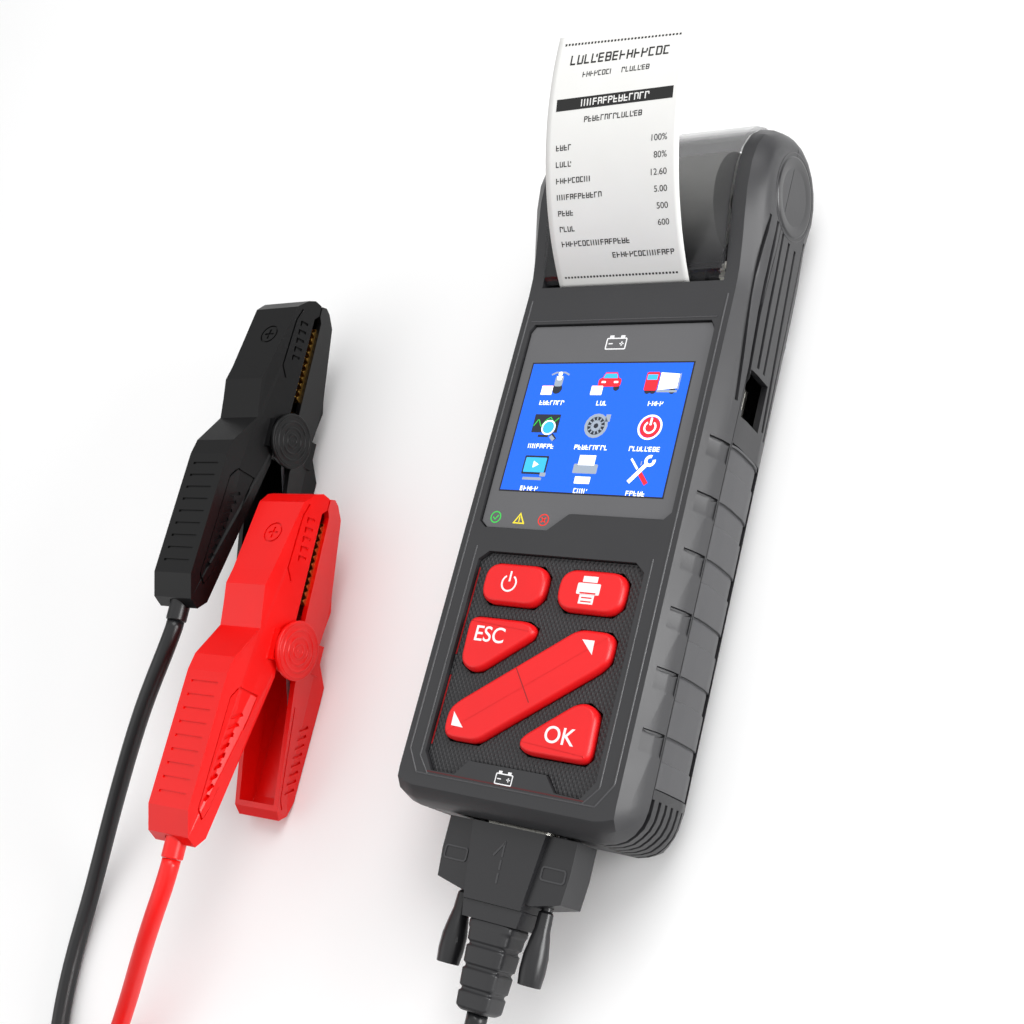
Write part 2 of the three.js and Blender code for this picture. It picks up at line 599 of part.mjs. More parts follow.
function thumbscrew(x) {
  const profile = [
    [0, -136.6], [1.5, -136.6], [1.5, -141], [1.9, -141.4], [1.9, -164.8], [2.7, -165.4],
    [2.9, -171], [3.6, -174.5], [4.5, -180], [4.6, -185], [4.1, -190], [0, -190],
  ];
  const geometry = new THREE.LatheGeometry(profile.reverse().map(([r, y]) => new THREE.Vector2(r, y)), 14);
  return place(geometry, x, 0, PLUG_Z);
}
add('thumbscrew_left', thumbscrew(-SCREW_X), blackPlastic);
add('thumbscrew_right', thumbscrew(SCREW_X), blackPlastic);

const RELIEF_END_Y = -203;
function strainRelief() {
  const body = loft([
    plugRing(-173 - GAP, 8.8, 7), plugRing(-190, 7.8, 6.5), plugRing(RELIEF_END_Y, 6.6, 6),
  ]);
  const slots = [-181, -188.5, -196].flatMap((y) => [
    block(-12, -6, y - 0.9, y + 0.9, 0, 60), block(6, 12, y - 0.9, y + 0.9, 0, 60)]);
  return cut(body, ...slots);
}
add('strain_relief', strainRelief(), blackRubber);

// ---- clamps: two hollow halves on a pivot, each with a toothed jaw plate ----
// Local axes: X along the jaws, Y away from the middle line, Z out of the near side.
const NOSE = [
  [12, 2.8], [59, 2.4], [61.5, 0.4], [66.5, 0.4], [67.5, 4], [66, 7.5], [61, 12.5], [29, 19.5],
  [22, 21.5], [4.5, 18.5],
];
// The upper handle is the longer one, because it carries the cable.
const UPPER_HALF = [
  ...NOSE, [-10, 28.6], [-17, 30.3], [-72, 33], [-82, 29.5], [-85, 24.5], [-81, 20], [-13, 6.5], [-8, 6.8],
];
const LOWER_HALF = [
  ...NOSE, [-10, 28.2], [-17, 28.1], [-60, 25.8], [-66, 23.4], [-68.5, 19], [-65, 15.8], [-13, 6.5],
  [-8, 6.8],
];
// Each pocket follows the outline a wall's thickness inside, and is open towards the middle.
const NOSE_POCKET = [[63.5, -2], [64.6, 4], [63.5, 6], [59.6, 10.2], [28.6, 17], [22, 19], [5.2, 16]];
const UPPER_POCKET = [
  ...NOSE_POCKET, [-8.8, 26.1], [-17, 27.8], [-71.6, 30.6], [-79.6, 27.8], [-81.8, 24.2], [-78.6, 20.9],
  [-77, 15], [-16, -2],
];
const LOWER_POCKET = [
  ...NOSE_POCKET, [-8.8, 25.7], [-17, 25.7], [-59.6, 23.4], [-63.8, 21.8], [-65.8, 18.9], [-63, 16.6],
  [-62, 12], [-16, -2],
];
const BACK_HALF_WIDTH = 11.2;       // half width across the back of each half
const BEVEL_END = 20;               // the sides slope in from the middle line to here
const CLAMP_WALL = 2.4;
const EAR_R = 9.6;
const EAR_ROOM = 10;
const UPPER_EAR = [12.6, CLAMP_HALF_WIDTH];
const LOWER_EAR = [9.7, 12.3];
const PIN_R = 2.1;

function clampForm(outline, halfWidth, backHalfWidth) {
  const ringAt = (share) => outline.map(([x, y]) => {
    const slope = Math.min(1, Math.max(0, y / BEVEL_END));
    return [x, y, (halfWidth + (backHalfWidth - halfWidth) * slope) * share];
  });
  return loft([ringAt(-1), ringAt(1)]);
}

// The same slab on both sides of the clamp.
function bothSides(x0, x1, y0, y1, [z0, z1]) {
  return union(block(x0, x1, y0, y1, z0, z1), block(x0, x1, y0, y1, -z1, -z0));
}

function clampHalf(outline, pocketOutline, ear, neckTop) {
  const form = clampForm(outline, CLAMP_HALF_WIDTH, BACK_HALF_WIDTH);
  const pocket = clampForm(pocketOutline, CLAMP_HALF_WIDTH - CLAMP_WALL, BACK_HALF_WIDTH - CLAMP_WALL);
  const ears = bothSides(-EAR_R, EAR_R, -EAR_R, EAR_R, ear)
    .intersect(rodZ(EAR_R, -BIG, BIG, 0, 0, 28));
  const necks = bothSides(-6.5, 6.5, 2, neckTop, ear);
  const room = rodZ(EAR_ROOM, -BIG, BIG, 0, 0, 28);
  return cut(union(cut(form, pocket, room), ears, necks), rodZ(PIN_R + GAP, -BIG, BIG, 0, 0, 16));
}

function jawPlate() {
  const teeth = [];
  const pitch = 3.2;
  for (let x = 20; x < 56; x += pitch) {
    teeth.push([x, 2.2], [x + pitch / 2, 0.35]);
  }
  const outline = [...teeth, [57.6, 2.2], [57.6, 5], [52, 7], [18, 10], [16, 8.6], [18, 2.2]];
  const channel = [[70, 3.2], [70, 4], [51, 5.8], [10, 8.8], [10, 3.2]];
  return cut(raise(outline, -7.5, 7.5), raise(channel, -6.5, 6.5));
}

// The spring lies round the pin, one leg in the lower handle and a short one above.
function torsionSpring() {
  const coilR = 5.2;
  const turns = 4;
  const width = 10.4;
  const perTurn = 8;
  const start = Math.PI * 0.78;
  const points = [new THREE.Vector3(-15, 9.5, -width / 2)];
  for (let i = 0; i <= turns * perTurn + 3; i += 1) {
    const angle = start + i / perTurn * 2 * Math.PI;
    const rise = -width / 2 + width * i / (turns * perTurn + 3);
    points.push(new THREE.Vector3(coilR * Math.cos(angle), coilR * Math.sin(angle), rise));
  }
  points.push(new THREE.Vector3(-18, -14.5, width / 2), new THREE.Vector3(-36, -21.5, width / 2));
  return sweptTube(points, 0.8, 5, 42);
}

// A round tube along a smooth curve through the points.
function sweptTube(points, radius, sides, steps) {
  const path = new THREE.CatmullRomCurve3(points, false, 'centripetal');
  const section = new THREE.Shape();
  for (let i = 0; i < sides; i += 1) {
    const angle = i / sides * 2 * Math.PI;
    section[i === 0 ? 'moveTo' : 'lineTo'](radius * Math.cos(angle), radius * Math.sin(angle));
  }
  return toSolid(new THREE.ExtrudeGeometry(section, { extrudePath: path, steps, bevelEnabled: false }));
}

// Turns a solid in the clamp's own axes half round its long axis, for the lower half.
const flip = (solid) => solid.rotate([180, 0, 0]);

// The boot fills a hole in the end of the upper handle, and the cable comes out of it.
const BOOT_V = 24.2;
const BOOT_R = 4.4;
const BOOT_END = -91;
function rodAlong(r, x0, x1, y) {
  return place(new THREE.CylinderGeometry(r, r, x1 - x0, 20), (x0 + x1) / 2, y, 0, 0, 0, Math.PI / 2);
}

function buildClamp(prefix, pivot, plastic, rubber) {
  const clamp = new THREE.Group();
  clamp.position.set(...pivot);
  const level = Math.cos(CLAMP_PITCH);
  const along = new THREE.Vector3(
    Math.sin(CLAMP_YAW) * level, Math.cos(CLAMP_YAW) * level, Math.sin(CLAMP_PITCH));
  const side = new THREE.Vector3(Math.cos(CLAMP_YAW), -Math.sin(CLAMP_YAW), 0);
  const up = side.clone().cross(along).normalize();
  clamp.quaternion.setFromRotationMatrix(new THREE.Matrix4().makeBasis(along, up, side));
  const centre = new THREE.Group();
  centre.position.set(0, 0, -CLAMP_HALF_WIDTH);
  clamp.add(centre);
  const bootHole = rodAlong(BOOT_R + GAP, BOOT_END - 4, -78, BOOT_V);
  const upper = cut(clampHalf(UPPER_HALF, UPPER_POCKET, UPPER_EAR, 12), bootHole);
  add(`${prefix}_upper_half`, upper, plastic, centre);
  add(`${prefix}_lower_half`, flip(clampHalf(LOWER_HALF, LOWER_POCKET, LOWER_EAR, 21)), plastic, centre);
  add(`${prefix}_upper_jaw`, jawPlate(), brass, centre);
  add(`${prefix}_lower_jaw`, flip(jawPlate()), brass, centre);
  add(`${prefix}_pivot_pin`, union(
    rodZ(PIN_R, -16.4, CLAMP_HALF_WIDTH - GAP, 0, 0, 16), rodZ(11.5, -17.6, -16, 0, 0, 28)), plastic, centre);
  add(`${prefix}_pivot_cap`,
    rodZ(12.6, CLAMP_HALF_WIDTH + GAP, CLAMP_HALF_WIDTH + 2.3, 0, 0, 32), plastic, centre);
  add(`${prefix}_spring`, torsionSpring(), steel, centre);
  add(`${prefix}_boot`, rodAlong(BOOT_R, BOOT_END, -79, BOOT_V), rubber, centre);
  root.add(clamp);
}
buildClamp('red', RED_PIVOT, redPlastic, redRubber);
buildClamp('black', BLACK_PIVOT, blackPlastic, blackRubber);

// ---- the lead: one cable from the plug, wound into a coil, then a fork to the two clamps ----
const LEAD_SIDES = 8;
const COIL = { x: -130, y: -385, inner: 32, outer: 50, top: 7.6 };
const FORK = { x: -103, y: -358, z: 12.5, turn: -48, long: 38, wide: 18, thick: 8.8 };
// Each route runs from where the cable comes out to where it goes in.
const MAIN_ROUTE = [
  [0, -203.4, 28], [0, -214, 27.4], [-1.5, -227, 24.2], [-5, -242, 17.6], [-10.5, -258, 10.4],
  [-19, -276, 5.6], [-31, -294, 4], [-46, -311, 4], [-61, -330, 4], [-73, -350, 4], [-80.5, -371, 4],
  [-83.5, -385, 4],
];
const RISE_ROUTE = [
  [-135, -422.5, 8], [-149, -418, 10.4], [-162, -408, 12], [-170.8, -395.5, 12.2], [-174.6, -380, 12.2],
  [-174.6, -363.6, 12.3], [-170, -349.4, 12.4], [-160.2, -338.8, 12.5], [-146.9, -333.3, 12.5],
  [-133.9, -333.5, 12.5], [-124, -337.3, 12.5], [-115.7, -343.9, 12.5], [-113, -346.9, 12.5],
];
const RED_ROUTE = [
  [-89.9, -366.3, 12.5], [-87.2, -369.3, 12.5], [-78.6, -379.6, 12.4], [-72, -391.8, 11.4],
  [-68.6, -405, 9], [-70, -419, 6], [-76.2, -432.6, 4.2], [-88.4, -444.6, 4], [-104.5, -451.6, 4],
  [-122, -453.4, 4], [-140, -452, 4], [-158, -445.6, 4], [-174.2, -433.2, 4], [-186.2, -415, 4],
  [-192.2, -393, 4], [-193.6, -370, 4], [-193, -350, 4], [-191.4, -331, 4], [-189.8, -312, 4],
  [-188.2, -293, 4.2], [-186, -276, 5.4], [-182, -260, 9], [-175.5, -246, 15], [-168, -234, 22.5],
  [-160, -222.8, 30.8], [-153, -212.8, 37.8], [-147, -202.6, 43.6], [-143.2, -193.4, 47],
  [-141.9, -183.3, 48.4],
];
const BLACK_ROUTE = [
  [-96.1, -371.9, 12.5], [-93.4, -374.9, 12.5], [-86.2, -384.4, 12.4], [-80.8, -396, 12],
  [-78.6, -409.4, 9.8], [-81.4, -422.8, 6.8], [-90.4, -434.4, 4.6], [-104, -441.6, 4], [-119.6, -444.6, 4],
  [-137, -443.8, 4], [-153.6, -438.2, 4], [-168.8, -427, 4], [-179.8, -411, 4], [-184.6, -391.6, 4.2],
  [-185, -373, 6.3], [-185, -357, 9.8], [-187, -342, 12.2], [-191.5, -328, 12], [-197.5, -313, 9],
  [-204.5, -298, 5.4], [-213, -283, 4], [-220.5, -265, 4], [-225, -246, 4], [-227, -227, 4.3],
  [-226, -208, 6.2], [-222.8, -190, 10.6], [-217.3, -172, 17.2], [-210, -155, 25], [-202, -139, 33],
  [-194.6, -124, 39.8], [-188.4, -111, 44.6], [-184.2, -99.5, 47.4], [-182.5, -89.2, 48.4],
];

function cable(route, steps) {
  return sweptTube(route.map((point) => new THREE.Vector3(...point)), LEAD_D / 2, LEAD_SIDES, steps);
}
function coil(grow) {
  const { x, y, inner, outer, top } = COIL;
  return cut(
    rodZ(outer + grow, -grow, top + grow, x, y, 40), rodZ(inner - grow, -1, top + 1, x, y, 28));
}
function fork(grow) {
  const { x, y, z, turn, long, wide, thick } = FORK;
  const half = [[-long / 2, 5.2], [-long / 2 + 8, 6], [long / 2 - 12, wide / 2], [long / 2, wide / 2]];
  const outline = [...half, ...half.map(([a, b]) => [a, -b]).reverse()];
  return raise(inset(outline, -grow), -thick / 2 - grow, thick / 2 + grow)
    .rotate([0, 0, turn]).translate([x, y, z]);
}
add('lead_main', cut(cable(MAIN_ROUTE, 17), coil(GAP)), blackRubber);
add('lead_coil', coil(0), blackRubber);
add('lead_rise', cut(cable(RISE_ROUTE, 12), coil(GAP), fork(GAP)), blackRubber);
add('splitter', fork(0), blackPlastic);
add('lead_red', cut(cable(RED_ROUTE, 30), coil(GAP), fork(GAP)), redRubber);
add('lead_black', cut(cable(BLACK_ROUTE, 36), coil(GAP), fork(GAP)), blackRubber);

export default root;
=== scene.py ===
import math
import bmesh
import bpy
import numpy as np
from mathutils import Matrix, Vector


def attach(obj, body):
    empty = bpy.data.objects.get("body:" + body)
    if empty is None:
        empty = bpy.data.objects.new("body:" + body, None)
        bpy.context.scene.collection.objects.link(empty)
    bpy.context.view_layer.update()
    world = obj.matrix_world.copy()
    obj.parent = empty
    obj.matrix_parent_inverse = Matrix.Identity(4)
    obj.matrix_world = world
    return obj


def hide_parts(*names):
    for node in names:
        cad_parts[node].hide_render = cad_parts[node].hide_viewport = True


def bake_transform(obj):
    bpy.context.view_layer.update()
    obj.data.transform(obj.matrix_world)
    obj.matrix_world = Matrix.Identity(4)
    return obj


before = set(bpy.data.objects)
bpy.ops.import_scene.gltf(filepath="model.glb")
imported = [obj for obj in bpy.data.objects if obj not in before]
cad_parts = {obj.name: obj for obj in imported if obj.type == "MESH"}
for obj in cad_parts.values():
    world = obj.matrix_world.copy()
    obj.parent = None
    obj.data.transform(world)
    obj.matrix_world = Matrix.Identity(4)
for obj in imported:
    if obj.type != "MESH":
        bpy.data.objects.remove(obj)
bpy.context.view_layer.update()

MM = 0.001


def colour(hex_code):
    """An sRGB hex code as the linear red, green, blue and alpha that a shader takes."""
    srgb = [int(hex_code[i:i + 2], 16) / 255 for i in (1, 3, 5)]
    return [c / 12.92 if c <= 0.04045 else ((c + 0.055) / 1.055) ** 2.4 for c in srgb] + [1.0]


def add_node(tree, kind, links=(), **settings):
    """Adds one shader node. settings are its properties; each link is (input, output socket or value)."""
    made = tree.nodes.new("ShaderNode" + kind)
    for name, value in settings.items():
        setattr(made, name, value)
    for socket, source in links:
        if isinstance(source, bpy.types.NodeSocket):
            tree.links.new(source, made.inputs[socket])
        else:
            made.inputs[socket].default_value = source
    return made


def new_material(name, base, rough, metal=0.0, coat=0.0, **sockets):
    """A Principled material with its constants set on the shader's own sockets."""
    made = bpy.data.materials.new(name)
    made.use_nodes = True
    shader = made.node_tree.nodes["Principled BSDF"]
    shader.inputs["Base Color"].default_value = colour(base)
    shader.inputs["Roughness"].default_value = rough
    shader.inputs["Metallic"].default_value = metal
    shader.inputs["Coat Weight"].default_value = coat
    for socket, value in sockets.items():
        shader.inputs[socket.replace("_", " ")].default_value = value
    return made


def link_object(name, mesh, material=None):
    """Puts a mesh in the scene as an object at the origin."""
    made = bpy.data.objects.new(name, mesh)
    bpy.context.scene.collection.objects.link(made)
    if material is not None:
        made.data.materials.append(material)
    return made


floor_white = new_material("Studio sweep, matt white", "#f7f7f7", 0.9)
floor_mesh = bpy.data.meshes.new("floor")
floor_mesh.from_pydata([(-4, -4, 0), (4, -4, 0), (4, 4, 0), (-4, 4, 0)], [], [(0, 1, 2, 3)])
floor = link_object("floor", floor_mesh, floor_white)
floor.location.z = -0.0002

world = bpy.data.worlds.new("studio")
bpy.context.scene.world = world
world.use_nodes = True
sky = world.node_tree
sky.nodes["Background"].inputs["Color"].default_value = (1.0, 1.0, 1.0, 1.0)
height = add_node(sky, "SeparateXYZ", [("Vector", add_node(sky, "TexCoord").outputs["Generated"])])
dome = add_node(sky, "MapRange", [("Value", height.outputs["Z"]), ("From Min", 0.2), ("From Max", 0.85),
                                  ("To Min", 0.2), ("To Max", 1.0)])
sky.links.new(dome.outputs["Result"], sky.nodes["Background"].inputs["Strength"])
bpy.context.scene.view_settings.view_transform = "Standard"


def soft_light(name, place, aim, size, watts):
    """A square area light at a place, turned to face a point."""
    lamp = bpy.data.lights.new(name, "AREA")
    lamp.size = size
    lamp.energy = watts
    made = bpy.data.objects.new(name, lamp)
    bpy.context.scene.collection.objects.link(made)
    made.location = place
    made.rotation_euler = (Vector(aim) - Vector(place)).to_track_quat("-Z", "Y").to_euler()


soft_light("key over the printer end", (0.35, 0.75, 0.9), (0, 0, 0.03), 0.7, 7)
soft_light("fill from the right", (0.95, 0.05, 0.22), (0, 0, 0.03), 0.5, 9)
soft_light("low left", (-0.8, -0.5, 0.6), (-0.1, -0.1, 0.03), 0.8, 1.2)

CAMERA_PLACE = (0.27423, -0.17341, 0.45865)
CAMERA_RIGHT = (0.82178, 0.24773, -0.51313)
CAMERA_UP = (-0.05106, 0.92894, 0.3667)
CAMERA_BACK = (0.56751, -0.27515, 0.77603)
camera = bpy.data.objects.new("camera", bpy.data.cameras.new("camera"))
bpy.context.scene.collection.objects.link(camera)
camera.data.lens = 49.54
camera.data.sensor_width = 36
camera.data.clip_start = 0.01
axes = Matrix((CAMERA_RIGHT, CAMERA_UP, CAMERA_BACK)).transposed()
camera.matrix_world = Matrix.Translation(CAMERA_PLACE) @ axes.to_4x4()
bpy.context.scene.camera = camera

# ---------------------------------------------------------------------------------------------
# Case halves: injection moulded ABS with a fine spark-eroded texture, closed by four screws from
# the back. Grooves are milled into the mould along both sides and round the bottom corners, and
# the bands of the soft grips go on over the edge of the front half.
# ---------------------------------------------------------------------------------------------
def soften(nodes, width, segments=2, angle=30, smooth=True):
    """Rounds the edges of rigid pieces as a mould does: merged corners, flat faces, then a bevel.

    smooth is off where engraved lines cross a face, so that each flat part is shaded as flat."""
    for node in nodes:
        piece = node if isinstance(node, bpy.types.Object) else bpy.data.objects[node]
        piece.data.polygons.foreach_set("use_smooth", [smooth] * len(piece.data.polygons))
        weld = piece.modifiers.new("weld", "WELD")
        weld.merge_threshold = 0.01 * MM
        flats = piece.modifiers.new("flats", "DECIMATE")
        flats.decimate_type = "DISSOLVE"
        flats.angle_limit = math.radians(0.8)
        bevel = piece.modifiers.new("edges", "BEVEL")
        bevel.width = width * MM
        bevel.segments = segments
        bevel.limit_method = "ANGLE"
        bevel.angle_limit = math.radians(angle)
        bevel.harden_normals = smooth
        bevel.use_clamp_overlap = True
        if smooth:
            piece.modifiers.new("normals", "WEIGHTED_NORMAL")


def dress(nodes, material):
    """Gives CAD pieces one material."""
    for node in nodes:
        slots = bpy.data.objects[node].data.materials
        slots.clear()
        slots.append(material)


def moulded(name, base, dark, rough, grain, depth, coat=0.0, metal=0.0, wear=0.08, **sockets):
    """A moulded or cast finish: grain mm wide and depth mm deep, and a base that drifts to dark.

    Broad noise moves the colour and the roughness a little, as handling and cooling do."""
    made = new_material(name, base, rough, metal, coat, **sockets)
    tree = made.node_tree
    shader = tree.nodes["Principled BSDF"]
    place = add_node(tree, "TexCoord").outputs["Object"]
    broad = add_node(tree, "TexNoise", [("Vector", place), ("Scale", 38.0), ("Detail", 3.0)])
    mix = add_node(tree, "Mix", [(0, broad.outputs["Fac"]), (6, colour(dark)), (7, colour(base))],
                   data_type="RGBA")
    drift = add_node(tree, "MapRange", [("Value", broad.outputs["Fac"]), ("To Min", max(0.03, rough - wear)),
                                        ("To Max", min(1.0, rough + wear))])
    fine = add_node(tree, "TexNoise", [("Vector", place), ("Scale", 1000.0 / grain / 2), ("Detail", 2.0)])
    bump = add_node(tree, "Bump", [("Height", fine.outputs["Fac"]), ("Distance", depth * MM),
                                   ("Strength", 0.6)])
    for socket, source in (("Base Color", mix.outputs[2]), ("Roughness", drift.outputs["Result"]),
                           ("Normal", bump.outputs["Normal"])):
        tree.links.new(source, shader.inputs[socket])
    return made


def grid_faces(rows, columns, wrap=False):
    """Four-sided faces over a grid of rows x columns points, closed round the columns if wrapped."""
    last = columns if wrap else columns - 1
    r, c = np.meshgrid(np.arange(rows - 1), np.arange(last), indexing="ij")
    after = (c + 1) % columns
    return np.stack([r * columns + c, r * columns + after, (r + 1) * columns + after,
                     (r + 1) * columns + c], axis=-1).reshape(-1, 4)


def new_mesh(name, points, faces, smooth=True):
    """A mesh from an array of points in mm and its faces."""
    mesh = bpy.data.meshes.new(name)
    mesh.from_pydata((np.asarray(points, float).reshape(-1, 3) * MM).tolist(), [],
                     [list(map(int, f)) for f in faces])
    mesh.polygons.foreach_set("use_smooth", [smooth] * len(mesh.polygons))
    mesh.update()
    return mesh


def outward(mesh):
    """Turns the faces of a closed mesh to the outside."""
    work = bmesh.new()
    work.from_mesh(mesh)
    bmesh.ops.recalc_face_normals(work, faces=work.faces)
    work.to_mesh(mesh)
    work.free()
    return mesh


def groove_tool(path, normals, half_width, depth, proud=3.0):
    """A cutter along a path on a surface: at each point P, with normal N and cross direction C,

    its corners are P - depth N +- 0.6 half_width C and P + proud N +- half_width C, joined in turn."""
    path, normals = np.asarray(path, float), np.asarray(normals, float)
    tangent = np.gradient(path, axis=0)
    tangent /= np.linalg.norm(tangent, axis=1)[:, None]
    across = np.cross(normals, tangent)
    across /= np.linalg.norm(across, axis=1)[:, None]
    wide = half_width * (1 + proud / max(depth, 0.4) * 0.25)
    corners = np.stack([path - depth * normals - 0.6 * half_width * across,
                        path - depth * normals + 0.6 * half_width * across,
                        path + proud * normals + wide * across,
                        path + proud * normals - wide * across], axis=1)
    count = len(path)
    faces = grid_faces(count, 4, wrap=True).tolist()
    return corners.reshape(-1, 3), faces + [[3, 2, 1, 0], [4 * count - 4 + k for k in range(4)]]


def on_case(origins, directions):
    """Where rays from outside the closed case meet its two halves, in mm, and the normals there."""
    hits, normals = [], []
    for origin, direction in zip(origins, directions):
        best = None
        for node in ("front_shell", "rear_shell"):
            found, place, normal, _ = bpy.data.objects[node].ray_cast(Vector(origin) * MM, Vector(direction))
            if found and (best is None or (place / MM - Vector(origin)).length < best[0]):
                best = ((place / MM - Vector(origin)).length, place / MM, normal)
        if best is not None:
            hits.append(tuple(best[1]))
            normals.append(tuple(best[2]))
    return np.array(hits), np.array(normals)


def cut_copy(node, name, tools, prepare=None):
    """A copy of a CAD piece with closed cutters taken out of it, left as one clean mesh.

    prepare, if given, changes the copy's bmesh before its flat faces are joined."""
    body = bpy.data.objects.new(name, bpy.data.objects[node].data.copy())
    bpy.context.scene.collection.objects.link(body)
    work = bmesh.new()
    work.from_mesh(body.data)
    bmesh.ops.remove_doubles(work, verts=work.verts, dist=0.005 * MM)
    if prepare is not None:
        prepare(work)
    bmesh.ops.dissolve_limit(work, angle_limit=math.radians(0.5), verts=work.verts, edges=work.edges)
    work.to_mesh(body.data)
    work.free()
    points, faces, base = [], [], 0
    for tool_points, tool_faces in tools:
        points.append(tool_points)
        faces += [[base + int(k) for k in face] for face in tool_faces]
        base += len(tool_points)
    cutter = link_object("cutter", outward(new_mesh("cutter", np.vstack(points), faces, smooth=False)))
    hole = body.modifiers.new("cut", "BOOLEAN")
    hole.operation = "DIFFERENCE"
    hole.solver = "EXACT"
    hole.use_self = True
    hole.object = cutter
    view = bpy.context.evaluated_depsgraph_get()
    body.data = bpy.data.meshes.new_from_object(body.evaluated_get(view))
    body.modifiers.clear()
    bpy.data.objects.remove(cutter)
    return body


case_abs = moulded("Moulded ABS, charcoal, fine spark texture", "#2f2f31", "#29292b", 0.42, 0.7, 0.03)
rear_abs = moulded("Moulded ABS, dark charcoal, fine spark texture", "#262628", "#1f1f21", 0.38, 0.7, 0.03)

SIDE_GROOVES = [(96, 45.6, 23.5, 38.6), (96.6, 39.4, 21.5, 34), (95.4, 33.2, 40.4, 29.6),
                (94.4, 27, 40.4, 24.2), (94.4, 21, 21, 15.4), (101.5, 14.6, 18.5, 12)]
CORNER_LEVELS = (12.5, 17, 21.5, 26, 30.5, 35)
RIB_TOPS = [7 - 21.4 * i for i in range(6)]
case_tools = []
for side in (1, -1):
    for y0, z0, y1, z1 in SIDE_GROOVES:
        y = np.linspace(y0, y1, 30)
        z = z0 + (z1 - z0) * (y0 - y) / (y0 - y1)
        origins = np.stack([np.full(30, side * 60.0), y, z], axis=1)
        hits, normals = on_case(origins, [(-side, 0, 0)] * 30)
        y = hits[:, 1]
        hits[:, 0] = np.polyval(np.polyfit(y, hits[:, 0], 3), y)
        normals = np.stack([np.polyval(np.polyfit(y, normals[:, k], 2), y) for k in range(3)], axis=1)
        normals /= np.linalg.norm(normals, axis=1)[:, None]
        case_tools.append(groove_tool(hits, normals, 1.0, 1.2))
    for level in CORNER_LEVELS:
        turn = np.radians(np.linspace(2, 96, 22))
        directions = np.stack([side * np.cos(turn), -np.sin(turn), np.zeros(22)], axis=1)
        hits, normals = on_case(np.array((side * 36.0, -121.0, level)) + 40 * directions, -directions)
        case_tools.append(groove_tool(hits, normals, 0.95, 1.2))
    for top in RIB_TOPS:
        z = np.linspace(45.3, 36.6, 9)
        origins = np.stack([np.full(9, side * 60.0), np.full(9, top - 0.5), z], axis=1)
        hits, normals = on_case(origins, [(-side, 0, 0)] * 9)
        if len(hits) > 3:
            case_tools.append(groove_tool(hits, normals, 0.6, 1.1))
        origins[:, 1] = top - 4.4
        hits, normals = on_case(origins, [(-side, 0, 0)] * 9)
        if len(hits) > 3:
            case_tools.append(groove_tool(hits, normals, 4.4, 0.55, proud=1.5))

front_case = cut_copy("front_shell", "front_case", case_tools)
rear_case = cut_copy("rear_shell", "rear_case", case_tools)
for piece, node, material in ((front_case, "front_shell", case_abs), (rear_case, "rear_shell", rear_abs)):
    piece.data.materials.clear()
    piece.data.materials.append(material)
    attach(piece, "tester")
    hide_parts(node)
    soften([piece], 0.35, 2, 32)

# A round polished boss, dished towards its middle, closes the printer end on each side, in a ring groove.
boss_abs = moulded("Moulded ABS, polished", "#232325", "#1e1e20", 0.3, 1.6, 0.006)
BOSS_CENTRE = (112.0, 31.0)
boss_r = np.array([0.01, 3, 6, 9, 12, 14.6, 15.2, 15.6, 15.9, 16.6, 16.9, 17.0])
boss_x = np.array([-0.9, -0.85, -0.65, -0.3, 0.15, 0.45, 0.4, -0.4, -0.4, 0.15, 0.1, -0.5]) + 52.0
turn = np.arange(72) * 2 * np.pi / 72
for side, name in ((1, "end_boss_right"), (-1, "end_boss_left")):
    points = np.stack([np.broadcast_to((side * boss_x)[:, None], (12, 72)),
                       BOSS_CENTRE[0] + boss_r[:, None] * np.cos(turn),
                       BOSS_CENTRE[1] + boss_r[:, None] * np.sin(turn)], axis=-1)
    boss = link_object(name, outward(new_mesh(name, points, grid_faces(12, 72, wrap=True))), boss_abs)
    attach(boss, "tester")

# Thermoplastic rubber strips, moulded over the rear half: matt, with stepped ribs for the fingers.
grip_tpe = moulded("Thermoplastic rubber, matt", "#454547", "#3d3d3f", 0.46, 0.5, 0.04)
dress(["side_grip_right", "side_grip_left"], grip_tpe)
soften(["side_grip_right", "side_grip_left"], 0.25, 2, 20)

screw_steel = moulded("Zinc plated steel, cross recess", "#b9bcc0", "#9a9ca1", 0.32, 0.4, 0.01, metal=1.0)
dress([f"case_screw_{i}" for i in (1, 2, 3, 4)], screw_steel)
soften([f"case_screw_{i}" for i in (1, 2, 3, 4)], 0.1, 2, 40)

# ---------------------------------------------------------------------------------------------
# Display and lens: a clear window with a grey border printed on its back, glued in the recess,
# over a lit colour display. Three marks below the screen show the result of a test.
# ---------------------------------------------------------------------------------------------
def flat_mesh(name, loops, thickness):
    """Closed outlines in mm, filled with even-odd holes and given a thickness, as one flat mesh."""
    curve = bpy.data.curves.new(name, "CURVE")
    curve.dimensions = "2D"
    curve.fill_mode = "BOTH"
    curve.extrude = thickness / 2
    for loop in loops:
        spline = curve.splines.new("POLY")
        spline.points.add(len(loop) - 1)
        spline.points.foreach_set("co", np.column_stack(
            [np.asarray(loop, float), np.zeros(len(loop)), np.ones(len(loop))]).ravel())
        spline.use_cyclic_u = True
    made = bpy.data.objects.new(name, curve)
    mesh = bpy.data.meshes.new_from_object(made)
    bpy.data.objects.remove(made)
    return mesh


def circle(x, y, r, sides=32):
    turn = np.arange(sides) * 2 * np.pi / sides
    return np.stack([x + r * np.cos(turn), y + r * np.sin(turn)], axis=1)


def box(x, y, wide, high):
    return np.array([(x - wide / 2, y - high / 2), (x + wide / 2, y - high / 2),
                     (x + wide / 2, y + high / 2), (x - wide / 2, y + high / 2)])


